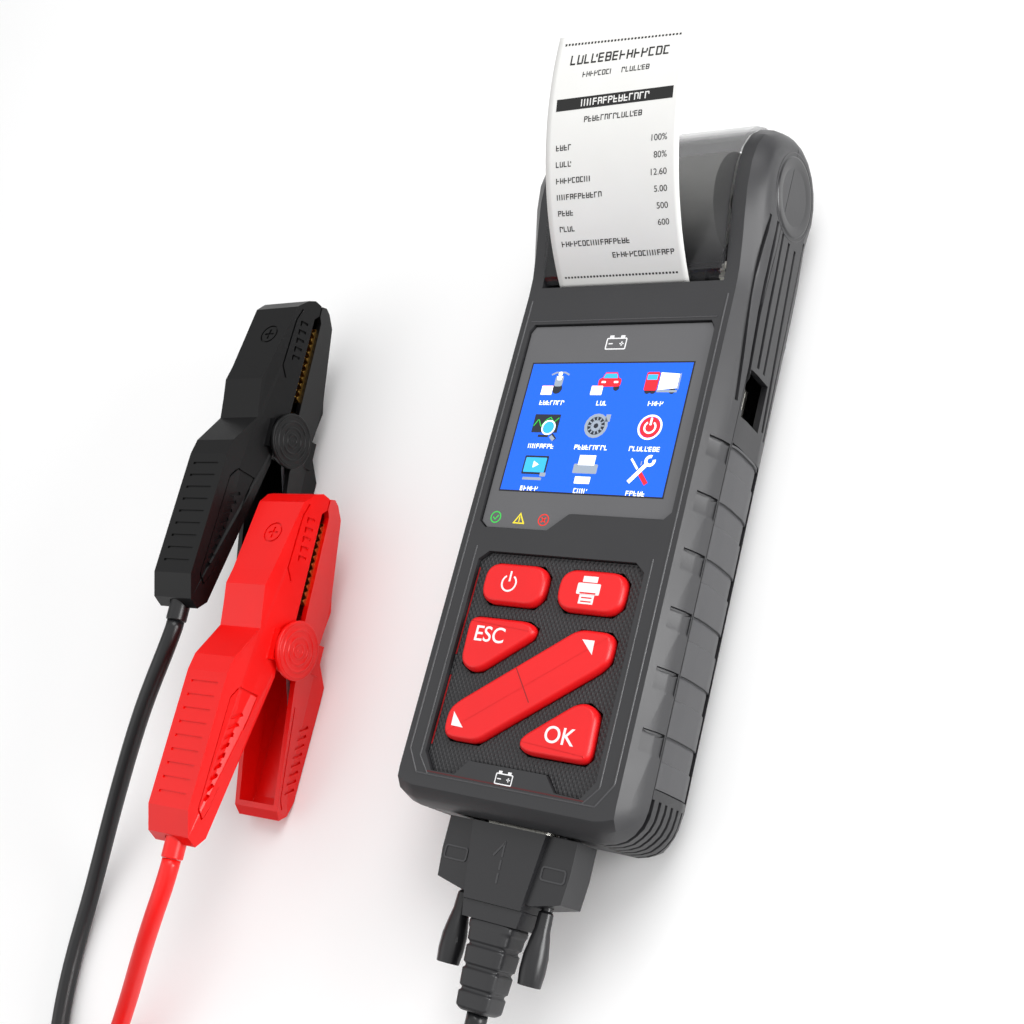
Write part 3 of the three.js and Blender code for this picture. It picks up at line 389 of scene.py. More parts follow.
def round_box(x, y, wide, high, r, steps=5):
    """A box whose corners are quarter circles of radius r."""
    a = np.linspace(0, np.pi / 2, steps)
    corner = np.stack([r * np.cos(a) + wide / 2 - r, r * np.sin(a) + high / 2 - r], axis=1)
    loop = np.vstack([corner, (corner * (-1, 1))[::-1], corner * (-1, -1), (corner * (1, -1))[::-1]])
    return loop + (x, y)


def stroke(points, width):
    """A line of a given width: the path moved half a width to the left, then back on the right."""
    path = np.asarray(points, float)
    along = np.gradient(path, axis=0)
    along /= np.linalg.norm(along, axis=1)[:, None]
    left = np.stack([-along[:, 1], along[:, 0]], axis=1) * width / 2
    return np.vstack([path + left, (path - left)[::-1]])


def arc(x, y, r, start, end, steps=20):
    a = np.radians(np.linspace(start, end, steps))
    return np.stack([x + r * np.cos(a), y + r * np.sin(a)], axis=1)


def dense(points, step=0.8):
    """The same path with even points, so that its corners stay tight."""
    path = np.asarray(points, float)
    run = np.concatenate([[0], np.cumsum(np.linalg.norm(np.diff(path, axis=0), axis=1))])
    even = np.linspace(0, run[-1], int(run[-1] / step) + 2)
    return np.stack([np.interp(even, run, path[:, k]) for k in range(path.shape[1])], axis=1)


def print_on(name, shapes, material, place, body, thickness=0.06):
    """Ink: each shape is a list of outlines. place turns an array of (x, y, height) into mm in 3-D."""
    points, faces, base = [], [], 0
    for loops in shapes:
        mesh = flat_mesh(name, loops, thickness)
        flat = np.empty(len(mesh.vertices) * 3)
        mesh.vertices.foreach_get("co", flat)
        points.append(place(flat.reshape(-1, 3)))
        faces += [[base + k for k in p.vertices] for p in mesh.polygons]
        base += len(mesh.vertices)
        bpy.data.meshes.remove(mesh)
    made = link_object(name, new_mesh(name, np.vstack(points), faces, smooth=False), material)
    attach(made, body)
    return made


def at_height(z):
    return lambda p: p + (0, 0, z)


def ink(name, base, glow=0.0, rough=0.45):
    """Screen ink or a lit area of a display: even, with a faint mottle in its gloss."""
    made = new_material(name, base, rough)
    tree = made.node_tree
    shader = tree.nodes["Principled BSDF"]
    place = add_node(tree, "TexCoord").outputs["Object"]
    mottle = add_node(tree, "TexNoise", [("Vector", place), ("Scale", 900.0)])
    gloss = add_node(tree, "MapRange", [("Value", mottle.outputs["Fac"]), ("To Min", rough - 0.02),
                                        ("To Max", rough + 0.02)])
    tree.links.new(gloss.outputs["Result"], shader.inputs["Roughness"])
    if glow:
        shader.inputs["Emission Color"].default_value = colour(base)
        shader.inputs["Emission Strength"].default_value = glow
    return made


lens_print = moulded("Printed polycarbonate, matt grey", "#5f5f61", "#58585a", 0.38, 0.5, 0.008, coat=0.1)
dress(["display_lens"], lens_print)
soften(["display_lens"], 0.4, 2, 40)

LENS_TOP = 46.9
screen_blue = ink("Lit display, blue", "#005ae0", 0.42, 0.3)
screen_edge = ink("Black border ink", "#141416", 0.0, 0.3)
white_lit = ink("Lit display, white", "#f4f6ff", 0.7, 0.3)
red_lit = ink("Lit display, red", "#e0182a", 0.45, 0.3)
grey_lit = ink("Lit display, grey", "#8f9aa8", 0.35, 0.3)
dark_lit = ink("Lit display, dark", "#1a2230", 0.1, 0.3)
cyan_lit = ink("Lit display, cyan", "#2fa8e8", 0.5, 0.3)
green_ink = ink("Green ink", "#35c24a", 0.25)
yellow_ink = ink("Yellow ink", "#e8d52c", 0.25)
red_ink = ink("Red ink", "#e02a22", 0.25)

print_on("screen_border", [[box(0, 8, 71.2, 54.2)]], screen_edge, at_height(LENS_TOP + 0.02), "tester", 0.06)
print_on("screen_field", [[box(0, 8, 70, 53)]], screen_blue, at_height(LENS_TOP + 0.06), "tester", 0.06)

ICON_X = (-22.0, 0.4, 23.4)
ICON_Y = (26.5, 8.4, -9.0)
LABEL_DROP = 8.6


def word(x, y, wide, high, seed):
    """Small marks the size of letters that spell nothing: stems and bars chosen by a running number."""
    made, at, k = [], x, seed * 7 + 3
    w, t = high * 0.62, high * 0.17
    while at < x + wide - 0.3:
        bits = (k * 37 + 11) % 29
        made.append([box(at + t / 2, y, t, high)])
        if bits & 1:
            made.append([box(at + w / 2 + t / 2, y + high / 2 - t / 2, w - t, t)])
        if bits & 2:
            made.append([box(at + w / 2 + t / 2, y, w - t, t)])
        if bits & 4:
            made.append([box(at + w / 2 + t / 2, y - high / 2 + t / 2, w - t, t)])
        if bits & 8:
            made.append([box(at + w, y + (high / 4 if bits & 16 else 0), t,
                             high / (2 if bits & 16 else 1) - t)])
        at += w * (1.38 if bits & 7 else 0.8)
        k += 1
    return made


label_wide = ((11, 4.6, 6.4), (11, 14, 13), (8, 5.4, 7))
labels = []
for row in range(3):
    for column in range(3):
        wide = label_wide[row][column]
        y = ICON_Y[row] - LABEL_DROP
        labels += word(ICON_X[column] - wide / 2, y, wide, 1.9, row * 3 + column)
print_on("screen_labels", labels, white_lit, at_height(LENS_TOP + 0.12), "tester", 0.04)


def moved(loops, x, y):
    return [np.asarray(loop) + (x, y) for loop in loops]


(mx, ax, bx), (ty, my, by) = ICON_X, ICON_Y
CARD = [[round_box(-3.6, -3.4, 5, 3.8, 0.3)], [box(-3.6, -3.4, 0.5, 2)]]
ring_arc = arc(0, 0, 2.6, 125, 415, 26).tolist() + arc(0, 0, 1.9, 415, 125, 26).tolist()
wrench_head = arc(3.4, 4.2, 2.3, 75, 375, 18).tolist() + arc(3.4, 4.2, 1.1, 375, 75, 18).tolist()
spokes = [[stroke([(2.1 * math.cos(t), 0.2 + 2.1 * math.sin(t)),
                   (3.5 * math.cos(t), 0.2 + 3.5 * math.sin(t))], 0.5)]
          for t in np.arange(12) * np.pi / 6]
white_shapes = [
    moved(CARD[0], mx, ty), moved(CARD[0], ax, ty), moved([circle(0.8, 3.6, 0.9)], mx, ty),
    moved([[(-0.5, 2.6), (2.1, 2.6), (1.6, 0.9), (0, 0.9)]], mx, ty),
    moved([round_box(-1.4, 0.1, 1.8, 0.8, 0.2)], ax, ty), moved([round_box(4.0, 0.1, 1.8, 0.8, 0.2)], ax, ty),
    moved([[(-0.6, 4.0), (7.2, 3.4), (7.2, -2.4), (-0.6, -3.2)]], bx, ty),
    moved([circle(0, 0, 5), circle(0, 0, 4.3)], bx, my), moved([ring_arc], bx, my),
    moved([box(0, 2.3, 0.8, 3)], bx, my),
    moved([circle(1.6, -0.9, 3.1), circle(1.6, -0.9, 2.5)], mx, my), moved([box(0, 3.6, 7, 4)], ax, by),
    moved([box(0, -4.4, 6.6, 2.8)], ax, by), moved([stroke([(-3.6, -4.4), (2.6, 3.2)], 1.6)], bx, by),
    moved([wrench_head], bx, by), moved([stroke([(-1, 0.8), (-4.4, 4.8)], 0.8)], bx, by),
    moved([[(-0.9, 2.6), (1.6, 1.2), (-0.9, -0.2)]], mx, by),
]
grey_shapes = [
    moved([stroke(dense([(-3.2, 3.2), (-1.2, 4.2), (2.8, 4.2), (4.8, 3.2)]), 0.7)], mx, ty),
    moved([round_box(0.8, 0.6, 3.6, 4.6, 1)], mx, ty), moved([box(7.6, 0.4, 0.5, 6.4)], bx, ty),
    moved([box(3.2, -3.6, 8.4, 0.9)], bx, ty), moved([circle(0, 0.2, 5, 16), circle(0, 0.2, 3.7)], ax, my),
    moved([circle(0, 0.2, 2.3), circle(0, 0.2, 1.0)], ax, my), *[moved(loops, ax, my) for loops in spokes],
    moved([box(4.4, 3.4, 2, 3)], ax, my), moved([round_box(0, 0.2, 10.4, 3.8, 0.5)], ax, by),
    moved([box(0, -4.6, 8.4, 1.1)], mx, by), moved([round_box(4.4, -2.8, 2.6, 1.6, 0.3)], mx, by),
    moved([stroke([(3.4, -4.4), (5.2, -6)], 1.4)], mx, my), moved([box(0, 3.2, 0.4, 1.6)], bx, by),
]
red_shapes = [
    moved([box(-3.6, -1.9, 5, 1.1)], mx, ty), moved([box(-3.6, -1.9, 5, 1.1)], ax, ty),
    moved([round_box(1.2, 0, 9.8, 3.6, 1.2)], ax, ty),
    moved([[(-2.6, 1.4), (-1.3, 4.2), (3.7, 4.2), (5, 1.4)]], ax, ty),
    moved([round_box(-3.8, 0.4, 5.4, 7.6, 0.7)], bx, ty), moved([circle(0, 0, 4.1)], bx, my),
    moved([stroke([(3.8, -4.8), (-0.4, 0.2)], 1.7)], bx, by),
]
dark_shapes = [
    moved([circle(0.8, -2.6, 2.2)], mx, ty), moved([box(0, 0.8, 11.6, 7.6)], mx, my),
    moved([box(0, -4.4, 4.6, 1)], mx, my),
    moved([round_box(0, 1, 10.8, 7.6, 0.5)], mx, by), moved([circle(-4.8, -3.4, 1.3)], bx, ty),
    moved([circle(-2.6, -3.4, 1.3)], bx, ty), moved([circle(5.4, -3.4, 1.3)], bx, ty),
    moved([circle(-2.2, -2.2, 1.3)], ax, ty), moved([circle(4.6, -2.2, 1.3)], ax, ty),
    moved([circle(0, 0.2, 4.4)], ax, my), moved([stroke([(3.6, -3.6), (5.8, -5.8)], 1.4)], mx, my),
]
cyan_shapes = [
    moved([round_box(0, 1, 9.4, 6, 0.3)], mx, by),
    moved([[(-2, 1.7), (-1.2, 3.6), (3.6, 3.6), (4.4, 1.7)]], ax, ty),
    moved([[(-6, 1), (-6, 3.2), (-1.8, 3.2), (-1.8, 1)]], bx, ty), moved([circle(1.6, -0.9, 2.4)], mx, my),
]
green_shapes = [moved([stroke(dense([(-5.4, -0.4), (-3.6, 2.6), (-2, -0.6), (-0.2, 2.2), (1.6, 3.4),
                                     (3.4, 1.2), (5.4, 3.2)]),
                             0.4)], mx, my)]
print_on("icons_green", green_shapes, green_ink, at_height(LENS_TOP + 0.215), "tester", 0.04)
for name, shapes, material, lift in (
        ("icons_dark", dark_shapes, dark_lit, 0.1), ("icons_grey", grey_shapes, grey_lit, 0.14),
        ("icons_red", red_shapes, red_lit, 0.17), ("icons_cyan", cyan_shapes, cyan_lit, 0.2),
        ("icons_white", white_shapes, white_lit, 0.23)):
    print_on(name, shapes, material, at_height(LENS_TOP + lift), "tester", 0.04)

MARK_Y = -29.8
print_on("mark_good", [[circle(-33.6, MARK_Y, 2.4), circle(-33.6, MARK_Y, 1.95)],
                       [stroke([(-34.7, -29.8), (-33.8, -30.7), (-32.4, -29)], 0.5)]],
         green_ink, at_height(LENS_TOP + 0.03), "tester", 0.06)
print_on("mark_caution",
         [[[(-25.4, -31.9), (-20, -31.9), (-22.7, -27.4)], [(-24.5, -31.4), (-20.9, -31.4), (-22.7, -28.4)]],
                          [box(-22.7, -29.9, 0.45, 1.6)], [box(-22.7, -31, 0.45, 0.4)]],
         yellow_ink, at_height(LENS_TOP + 0.03), "tester", 0.06)
print_on("mark_bad", [[circle(-12, MARK_Y, 2.4), circle(-12, MARK_Y, 1.95)],
                      [stroke([(-13, -30.8), (-11, -28.8)], 0.5)],
                      [stroke([(-13, -28.8), (-11, -30.8)], 0.5)]],
         red_ink, at_height(LENS_TOP + 0.03), "tester", 0.06)

# A battery sign, moulded in white ink over the screen and below the keys, in place of lettering.
white_ink = ink("White pad-printing ink", "#e9e9ea", 0.05)
BATTERY_SIGN = [[round_box(0, 0, 9, 5, 0.6), round_box(0, 0, 8, 4, 0.3)], [box(-2.4, 3, 1.8, 1)],
                [box(2.4, 3, 1.8, 1)],
                [box(-2.4, 0, 1.8, 0.5)], [box(2.4, 0, 1.8, 0.5)], [box(2.4, 0, 0.5, 1.8)]]
print_on("sign_over_screen", [moved(loops, 0, 42.8) for loops in BATTERY_SIGN], white_ink,
         at_height(LENS_TOP + 0.03), "tester", 0.06)

dress(["lcd_module"], moulded("Display glass, dark", "#101216", "#0c0e12", 0.12, 2.0, 0.002))

# ---------------------------------------------------------------------------------------------
# Keys: silicone rubber in one bright red, each a cap with a soft edge on a flange under the panel.
# The panel round them is ABS with a diamond knurl, and red light lines show at its edges.
# ---------------------------------------------------------------------------------------------
panel_abs = moulded("Moulded ABS, diamond knurl", "#2c2c2e", "#262628", 0.55, 0.5, 0.01)
tree = panel_abs.node_tree
place = next(n for n in tree.nodes if n.type == "TEX_COORD").outputs["Object"]
KNURL_PITCH = 1.5 * MM
waves = []
for angle in (0.6, -0.6):
    turned = add_node(tree, "Mapping", [("Vector", place), ("Rotation", (0, 0, angle))])
    waves.append(add_node(tree, "TexWave", [("Vector", turned.outputs["Vector"]),
                                            ("Scale", 1 / KNURL_PITCH / 20 * 2 * math.pi)]))
cross = add_node(tree, "Math", [(0, waves[0].outputs["Fac"]), (1, waves[1].outputs["Fac"])],
                 operation="MULTIPLY")
old_bump = next(n for n in tree.nodes if n.type == "BUMP")
knurl = add_node(tree, "Bump",
                 [("Height", cross.outputs["Value"]), ("Distance", 0.35 * MM), ("Strength", 0.9),
                                ("Normal", old_bump.outputs["Normal"])])
tree.links.new(knurl.outputs["Normal"], tree.nodes["Principled BSDF"].inputs["Normal"])
dress(["keypad_panel"], panel_abs)
soften(["keypad_panel"], 0.3, 2, 40)

key_silicone = moulded("Silicone rubber, bright red", "#ee1116", "#dc0c12", 0.4, 0.5, 0.015)
POWER_KEY = [(-29.3, -51.6), (-26.2, -48.8), (-6.8, -48.8), (-3.5, -51.8), (-3.5, -59.6), (-6.8, -63),
             (-26, -63),
             (-29.3, -60)]
ESC_KEY = [(-29.2, -69.9), (-6.6, -69.9), (-3.3, -71.6), (-3.6, -74.6), (-21.8, -88.5), (-26, -89.2),
           (-30.4, -86.6), (-31, -71.8)]
UPDOWN_HALF = [(15.5, -70.5), (27.3, -70.5), (29.7, -72.6), (29.7, -79.8), (27, -83.2)]
KEYS_CENTRE_Y = -92.6


def half_turn(points):
    return [(-x, 2 * KEYS_CENTRE_Y - y) for x, y in points]


def rounded(points, radius, steps=6):
    """Each corner P becomes a quadratic curve from P + r a to P + r b, a and b towards its neighbours."""
    p = np.asarray(points, float)
    a, b = np.roll(p, 1, axis=0) - p, np.roll(p, -1, axis=0) - p
    la, lb = (np.linalg.norm(v, axis=1)[:, None] for v in (a, b))
    start = p + a / la * np.minimum(radius, la * 0.48)
    end = p + b / lb * np.minimum(radius, lb * 0.48)
    t = np.linspace(0, 1, steps)[None, :, None]
    return ((1 - t) ** 2 * start[:, None] + 2 * t * (1 - t) * p[:,
                                                                None] + t ** 2 * end[:, None]).reshape(-1, 2)


def grown(loop, step):
    """The loop moved out by a step along its normals; the loop runs clockwise or the other way alike."""
    along = np.roll(loop, -1, axis=0) - np.roll(loop, 1, axis=0)
    normal = np.stack([along[:, 1], -along[:, 0]], axis=1)
    normal /= np.linalg.norm(normal, axis=1)[:, None]
    turn = np.sign(np.sum(loop[:, 0] * np.roll(loop[:, 1], -1) - np.roll(loop[:, 0], -1) * loop[:, 1]))
    return loop + normal * step * turn


KEY_SHAPES = {"key_power": POWER_KEY, "key_print": [(-x, y) for x, y in POWER_KEY][::-1], "key_esc": ESC_KEY,
              "key_ok": half_turn(ESC_KEY), "key_updown": UPDOWN_HALF + half_turn(UPDOWN_HALF)}
# Each cap from its flange up: height over the back, and how far it stands out from its outline.
KEY_PROFILE = [(44.0, 0.8), (47.2, 0.75), (47.9, 0.6), (48.7, 0.15), (49.15, -0.2), (49.36, -0.55),
               (49.4, -0.9)]
for node, outline in KEY_SHAPES.items():
    loop = rounded(outline, 3.2)
    rings = [np.column_stack([grown(loop, out), np.full(len(loop), z)]) for z, out in KEY_PROFILE]
    count, sides = len(rings), len(loop)
    faces = grid_faces(count, sides, wrap=True).tolist()
    faces += [list(range(sides))[::-1], [(count - 1) * sides + k for k in range(sides)]]
    cap = link_object(node + "_cap", outward(new_mesh(node + "_cap", np.vstack(rings), faces)), key_silicone)
    flat_faces = np.ones(len(cap.data.polygons), bool)
    flat_faces[-2:] = False
    cap.data.polygons.foreach_set("use_smooth", flat_faces)
    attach(cap, node)
    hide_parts(node)

KEY_TOP = 49.4
legend = at_height(KEY_TOP + 0.04)
print_on("legend_power",
         [[arc(-18.1, -55.9, 3.4, 122, 418, 30).tolist() + arc(-18.1, -55.9, 2.7, 418, 122, 30).tolist()],
                          [box(-18.1, -53.3, 0.75, 4)]], white_ink, legend, "key_power")
print_on("legend_print",
         [[box(15.9, -51.7, 6, 2.2)], [round_box(15.9, -55.3, 9.4, 4.2, 0.5), box(15.9, -56.9, 6.6, 0.6)],
                          [box(15.9, -59.2, 6, 3.4), box(15.9, -58.6, 4.4, 0.5), box(15.9, -60, 4.4, 0.5)]],
         white_ink, legend, "key_print")
print_on("legend_up", [[[(18.4, -73.6), (23.4, -73.6), (23.6, -78.7)]]], white_ink, legend, "key_updown")
print_on("legend_down", [[[(-27, -105.6), (-26.8, -110.7), (-21.6, -110.9)]]], white_ink, legend,
         "key_updown")
# A darker red line across the up and down key: painted shade in the groove between its two halves.
seam_painted_shade = ink("Dark red seam, painted shade", "#8c1013")
print_on("key_seam", [[stroke([(-5.6, -86.7), (3.1, -98.4)], 0.35)]], seam_painted_shade, legend, "key_updown", 0.04)


def letters(name, words, size, x, y, z, body, material):
    """Key legend in a plain sans letter, made a mesh and centred on (x, y)."""
    text = bpy.data.curves.new(name, "FONT")
    text.body = words
    text.size = size
    text.align_x = "CENTER"
    text.align_y = "CENTER"
    text.extrude = 0.03
    text.offset = 0.06
    holder = bpy.data.objects.new(name, text)
    mesh = bpy.data.meshes.new_from_object(holder)
    bpy.data.objects.remove(holder)
    flat = np.empty(len(mesh.vertices) * 3)
    mesh.vertices.foreach_get("co", flat)
    points = flat.reshape(-1, 3) + (x, y, z)
    made = link_object(name, new_mesh(name, points, [list(p.vertices) for p in mesh.polygons],
                                      smooth=False), material)
    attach(made, body)


letters("legend_esc", "ESC", 8.2, -20.6, -76.2, KEY_TOP + 0.04, "key_esc", white_ink)
letters("legend_ok", "OK", 8.4, 18.6, -108.4, KEY_TOP + 0.04, "key_ok", white_ink)

glow_red = ink("Red light pipe", "#8e1216", 0.12, 0.3)
dim_red = ink("Red light pipe, dim", "#4a0b0e", 0.03, 0.3)
print_on("light_line_bottom", [[stroke([(-33, -128.1), (33, -128.1)], 0.5)]], dim_red, at_height(48.03),
         "tester")
print_on("light_lines", [[stroke([(s * 34.9, -50), (s * 35.3, -84)], 0.55)] for s in (1, -1)]
         + [[stroke([(s * 35.2, -92), (s * 35.4, -118)], 0.55)] for s in (1, -1)],
         glow_red, at_height(46.25), "tester", 0.12)
small_sign = [moved([loop * 0.8 for loop in loops], 0, -126) for loops in BATTERY_SIGN]
print_on("sign_below_keys", small_sign, white_ink, at_height(48.04), "tester", 0.06)

# The front is framed by a low bead moulded with the case, with a notched line under the keypad. The bead is
# coloured lighter than the case, as a painted highlight along the edge.
bead_painted_highlight_abs = moulded("Moulded ABS, lighter for a painted edge highlight", "#4a4a4c", "#434345", 0.34, 0.7, 0.01)


def bead(name, points, width, height, base_z=48.0):
    """A low bead along a path in the front face: across it, z = base + height cos(pi u / 2), u -1 to 1."""
    path = np.asarray(points, float)
    along = np.gradient(path, axis=0)
    along /= np.linalg.norm(along, axis=1)[:, None]
    left = np.stack([-along[:, 1], along[:, 0]], axis=1)
    u = np.linspace(-1, 1, 7)
    flat = path[:, None] + left[:, None] * (u * width / 2)[None, :, None]
    z = base_z - 0.15 + (height + 0.15) * np.cos(np.pi * u / 2)
    grid = np.concatenate([flat, np.broadcast_to(z[None, :, None], flat.shape[:2] + (1,))], axis=-1)
    made = link_object(name, new_mesh(name, grid, grid_faces(len(path), 7)), bead_painted_highlight_abs)
    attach(made, "tester")
    return made


bead("front_bead", dense([(-43, 62), (-43, -121), (-37.5, -129.2), (37.5, -129.2), (43, -121), (43, 62)]),
     0.9, 0.3)
bead("keypad_bead", dense([(-37.8, -42), (-37.8, -123), (-32.6, -129.0)]), 0.8, 0.25)
bead("keypad_bead_right", dense([(37.8, -42), (37.8, -123), (32.6, -129.0)]), 0.8, 0.25)
bead("lens_bead_top", dense([(-40.8, 52.6), (40.8, 52.6)]), 0.8, 0.3)

# ---------------------------------------------------------------------------------------------
# Printer: a thermal head and a rubber roller under a smoky polycarbonate lid. The paper is 57.5 mm
# thermal roll; the printed strip stands out of the slot and ends at the serrated steel bar.
# ---------------------------------------------------------------------------------------------
thermal_paper = moulded("Thermal paper, coated white", "#ededeb", "#e6e6e3", 0.8, 0.35, 0.004, wear=0.04)
dress(["paper_roll"], thermal_paper)
soften(["paper_roll"], 0.2, 1, 40)

PAPER_LENGTH = 96.0
run = np.linspace(0, PAPER_LENGTH, 200)
slope = np.radians(58 - 50 * run / PAPER_LENGTH)
paper_y = 68.2 + np.concatenate([[0], np.cumsum(np.cos((slope[1:] + slope[:-1]) / 2) * np.diff(run))])
paper_z = 46.2 + np.concatenate([[0], np.cumsum(np.sin((slope[1:] + slope[:-1]) / 2) * np.diff(run))])


def on_paper(p):
    """(x across, distance from the slot, height over the paper) to its place on the curved strip."""
    s = p[:, 1]
    y, z, a = (np.interp(s, run, v) for v in (paper_y, paper_z, slope))
    x = -3.9 + 0.07 * s + p[:, 0]
    lift = p[:, 2] + 0.05
    over = 0.07 * -p[:, 0] * (s / PAPER_LENGTH) ** 8
    return np.stack([x, y - lift * np.sin(a) + over * np.cos(a), z + lift * np.cos(a) + over * np.sin(a)],
                    axis=1)


across_paper = np.linspace(-28.75, 28.75, 25)
along_paper = np.linspace(0, PAPER_LENGTH, 60)
sx, sy = np.meshgrid(across_paper, along_paper)
front_sheet = on_paper(np.stack([sx.ravel(), sy.ravel(), np.full(sx.size, -0.05)], axis=1))
back_sheet = on_paper(np.stack([sx.ravel(), sy.ravel(), np.full(sx.size, -0.25)], axis=1))
sheet_faces = grid_faces(60, 25)
rim = np.concatenate([np.arange(25), 24 + 25 * np.arange(1, 60), 59 * 25 + np.arange(23, -1, -1),
                      25 * np.arange(58, 0, -1)])
walls = np.stack([rim, np.roll(rim, -1), np.roll(rim, -1) + 1500, rim + 1500], axis=1)
strip_mesh = outward(new_mesh("printed_strip", np.vstack([front_sheet, back_sheet]),
                              np.vstack([sheet_faces, sheet_faces[:, ::-1] + 1500, walls])))
printed_strip = link_object("printed_strip", strip_mesh, thermal_paper)
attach(printed_strip, "cover")
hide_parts("paper_strip")

thermal_black = ink("Thermal print, black", "#161616", 0.0, 0.6)


def dotted(y):
    return [[box(x, y, 0.8, 0.8)] for x in np.arange(-25, 25.1, 1.45)]


rows = dotted(93.0) + word(-21.5, 87, 43, 3.6, 1) + word(-15, 81.2, 13, 2.0, 2) + word(2, 81.2, 12, 2.0, 5)
rows += [[box(0, 70.6, 50, 4.4)]]
rows += word(-12, 64.4, 25, 2.1, 4)
readings = (("100%", 7), ("80%", 7), ("12.60", 15), ("5.00", 19), ("500", 6), ("600", 6))
for k, (reading, left) in enumerate(readings):
    rows += word(-24, 54.8 - 6.1 * k, left, 2.1, k)
rows += word(-24, 18.4, 31, 2.2, 2) + word(-2, 13, 26, 2.2, 6) + dotted(4.6)
for k, (reading, _) in enumerate(readings):
    text = bpy.data.curves.new("reading", "FONT")
    text.body = reading
    text.size = 3.3
    text.align_x = "RIGHT"
    text.align_y = "CENTER"
    holder = bpy.data.objects.new("reading", text)
    mesh = bpy.data.meshes.new_from_object(holder)
    bpy.data.objects.remove(holder)
    flat = np.empty(len(mesh.vertices) * 3)
    mesh.vertices.foreach_get("co", flat)
    points = on_paper(flat.reshape(-1, 3) + (24, 54.8 - 6.1 * k, 0.02))
    name = f"reading_{k + 1}"
    number = link_object(name,
                         new_mesh(name, points, [list(p.vertices) for p in mesh.polygons], smooth=False),
                         thermal_black)
    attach(number, "cover")
title_white = ink("Unprinted paper in the title bar", "#ededeb", 0.0, 0.8)
print_on("receipt_title", word(-14, 70.6, 28, 2.6, 3), title_white, lambda p: on_paper(p + (0, 0, 0.05)),
         "cover",
         0.04)
print_on("receipt_print", rows, thermal_black, on_paper, "cover", 0.04)

smoky_pc = moulded("Smoky polycarbonate, polished", "#2c2c2f", "#262629", 0.1, 3.0, 0.002, coat=0.3,
                   wear=0.03,
                   IOR=1.58, Alpha=0.36)
dress(["paper_cover"], smoky_pc)
soften(["paper_cover"], 0.35, 2, 25)

machined_steel = moulded("Stainless steel, ground", "#b4b6ba", "#9b9da2", 0.3, 0.25, 0.006, metal=1.0)
dress(["tear_bar", "print_head", "cover_hinge_pin", "feed_motor"], machined_steel)
soften(["tear_bar", "print_head", "cover_hinge_pin", "feed_motor"], 0.12, 1, 40)
frame_pom = moulded("Glass filled nylon, black", "#1a1a1c", "#151517", 0.5, 0.6, 0.02)
dress(["printer_frame", "buzzer"], frame_pom)
soften(["printer_frame", "buzzer"], 0.25, 1, 40)
platen_rubber = moulded("Nitrile rubber, ground", "#232325", "#1d1d1f", 0.75, 0.3, 0.02)
dress(["platen_roller", "keypad_mat"], platen_rubber)
soften(["platen_roller", "keypad_mat"], 0.2, 1, 40)
acetal = moulded("Acetal, natural white", "#e6e4dc", "#dad8cf", 0.4, 0.8, 0.01, Subsurface_Weight=0.05)
dress(["idler_gear", "platen_gear"], acetal)
soften(["idler_gear", "platen_gear"], 0.08, 1, 50)
pinion_brass = moulded("Brass, hobbed", "#c8a45a", "#b08e48", 0.32, 0.3, 0.01, metal=1.0)
dress(["motor_pinion"], pinion_brass)
soften(["motor_pinion"], 0.06, 1, 50)
board_fr4 = moulded("Epoxy glass board, green solder mask", "#15502f", "#0f4426", 0.35, 1.2, 0.01, coat=0.3)
dress(["main_pcb"], board_fr4)
soften(["main_pcb"], 0.15, 1, 40)

# ---------------------------------------------------------------------------------------------
# Sockets and plug: pressed nickel shells; the plug is moulded over in soft black PVC, with two long
# thumbscrews and a notched strain relief on the cable.
# ---------------------------------------------------------------------------------------------
nickel = moulded("Nickel plated steel, pressed", "#c4c2bc", "#aba9a3", 0.24, 0.3, 0.006, metal=1.0)
dress(["tester_socket", "usb_socket", "plug_shell"], nickel)
soften(["tester_socket", "usb_socket", "plug_shell"], 0.2, 2, 40)
plug_pvc = moulded("Overmoulded PVC, charcoal", "#262628", "#202022", 0.38, 0.6, 0.025)
dress(["plug_hood"], plug_pvc)
soften(["plug_hood"], 1.3, 4, 30)
knob_abs = moulded("Moulded ABS, black, satin", "#1c1c1e", "#171719", 0.3, 0.6, 0.015)
dress(["thumbscrew_left", "thumbscrew_right"], knob_abs)
soften(["thumbscrew_left", "thumbscrew_right"], 0.35, 2, 35)
raised_pvc = moulded("Overmoulded PVC, raised mark", "#3c3c3e", "#363638", 0.36, 0.6, 0.01)


def hood_top(p):
    """The hood's middle falls a little towards the cable."""
    return p + np.stack([p[:, 0] * 0, p[:, 0] * 0, 37.25 + (p[:, 1] + 140.4) * 0.03], axis=1)


print_on("plug_arrow", [[stroke([(0, -160), (0, -156.5)], 0.7)], [stroke([(0, -155.4), (0, -152)], 0.7)],
                        [stroke([(-3.6, -151), (0.3, -145.6)], 0.7)],
                        [stroke([(0, -151), (0, -145.8)], 0.7)]],
         raised_pvc, hood_top, "tester", 0.7)
print_on("plug_mark", [[round_box(s * 20.6, -153, 10, 5, 1.2), round_box(s * 20.6, -153, 8.9, 3.9, 0.8)]
                       for s in (1, -1)], raised_pvc, at_height(35.05), "tester", 0.6)

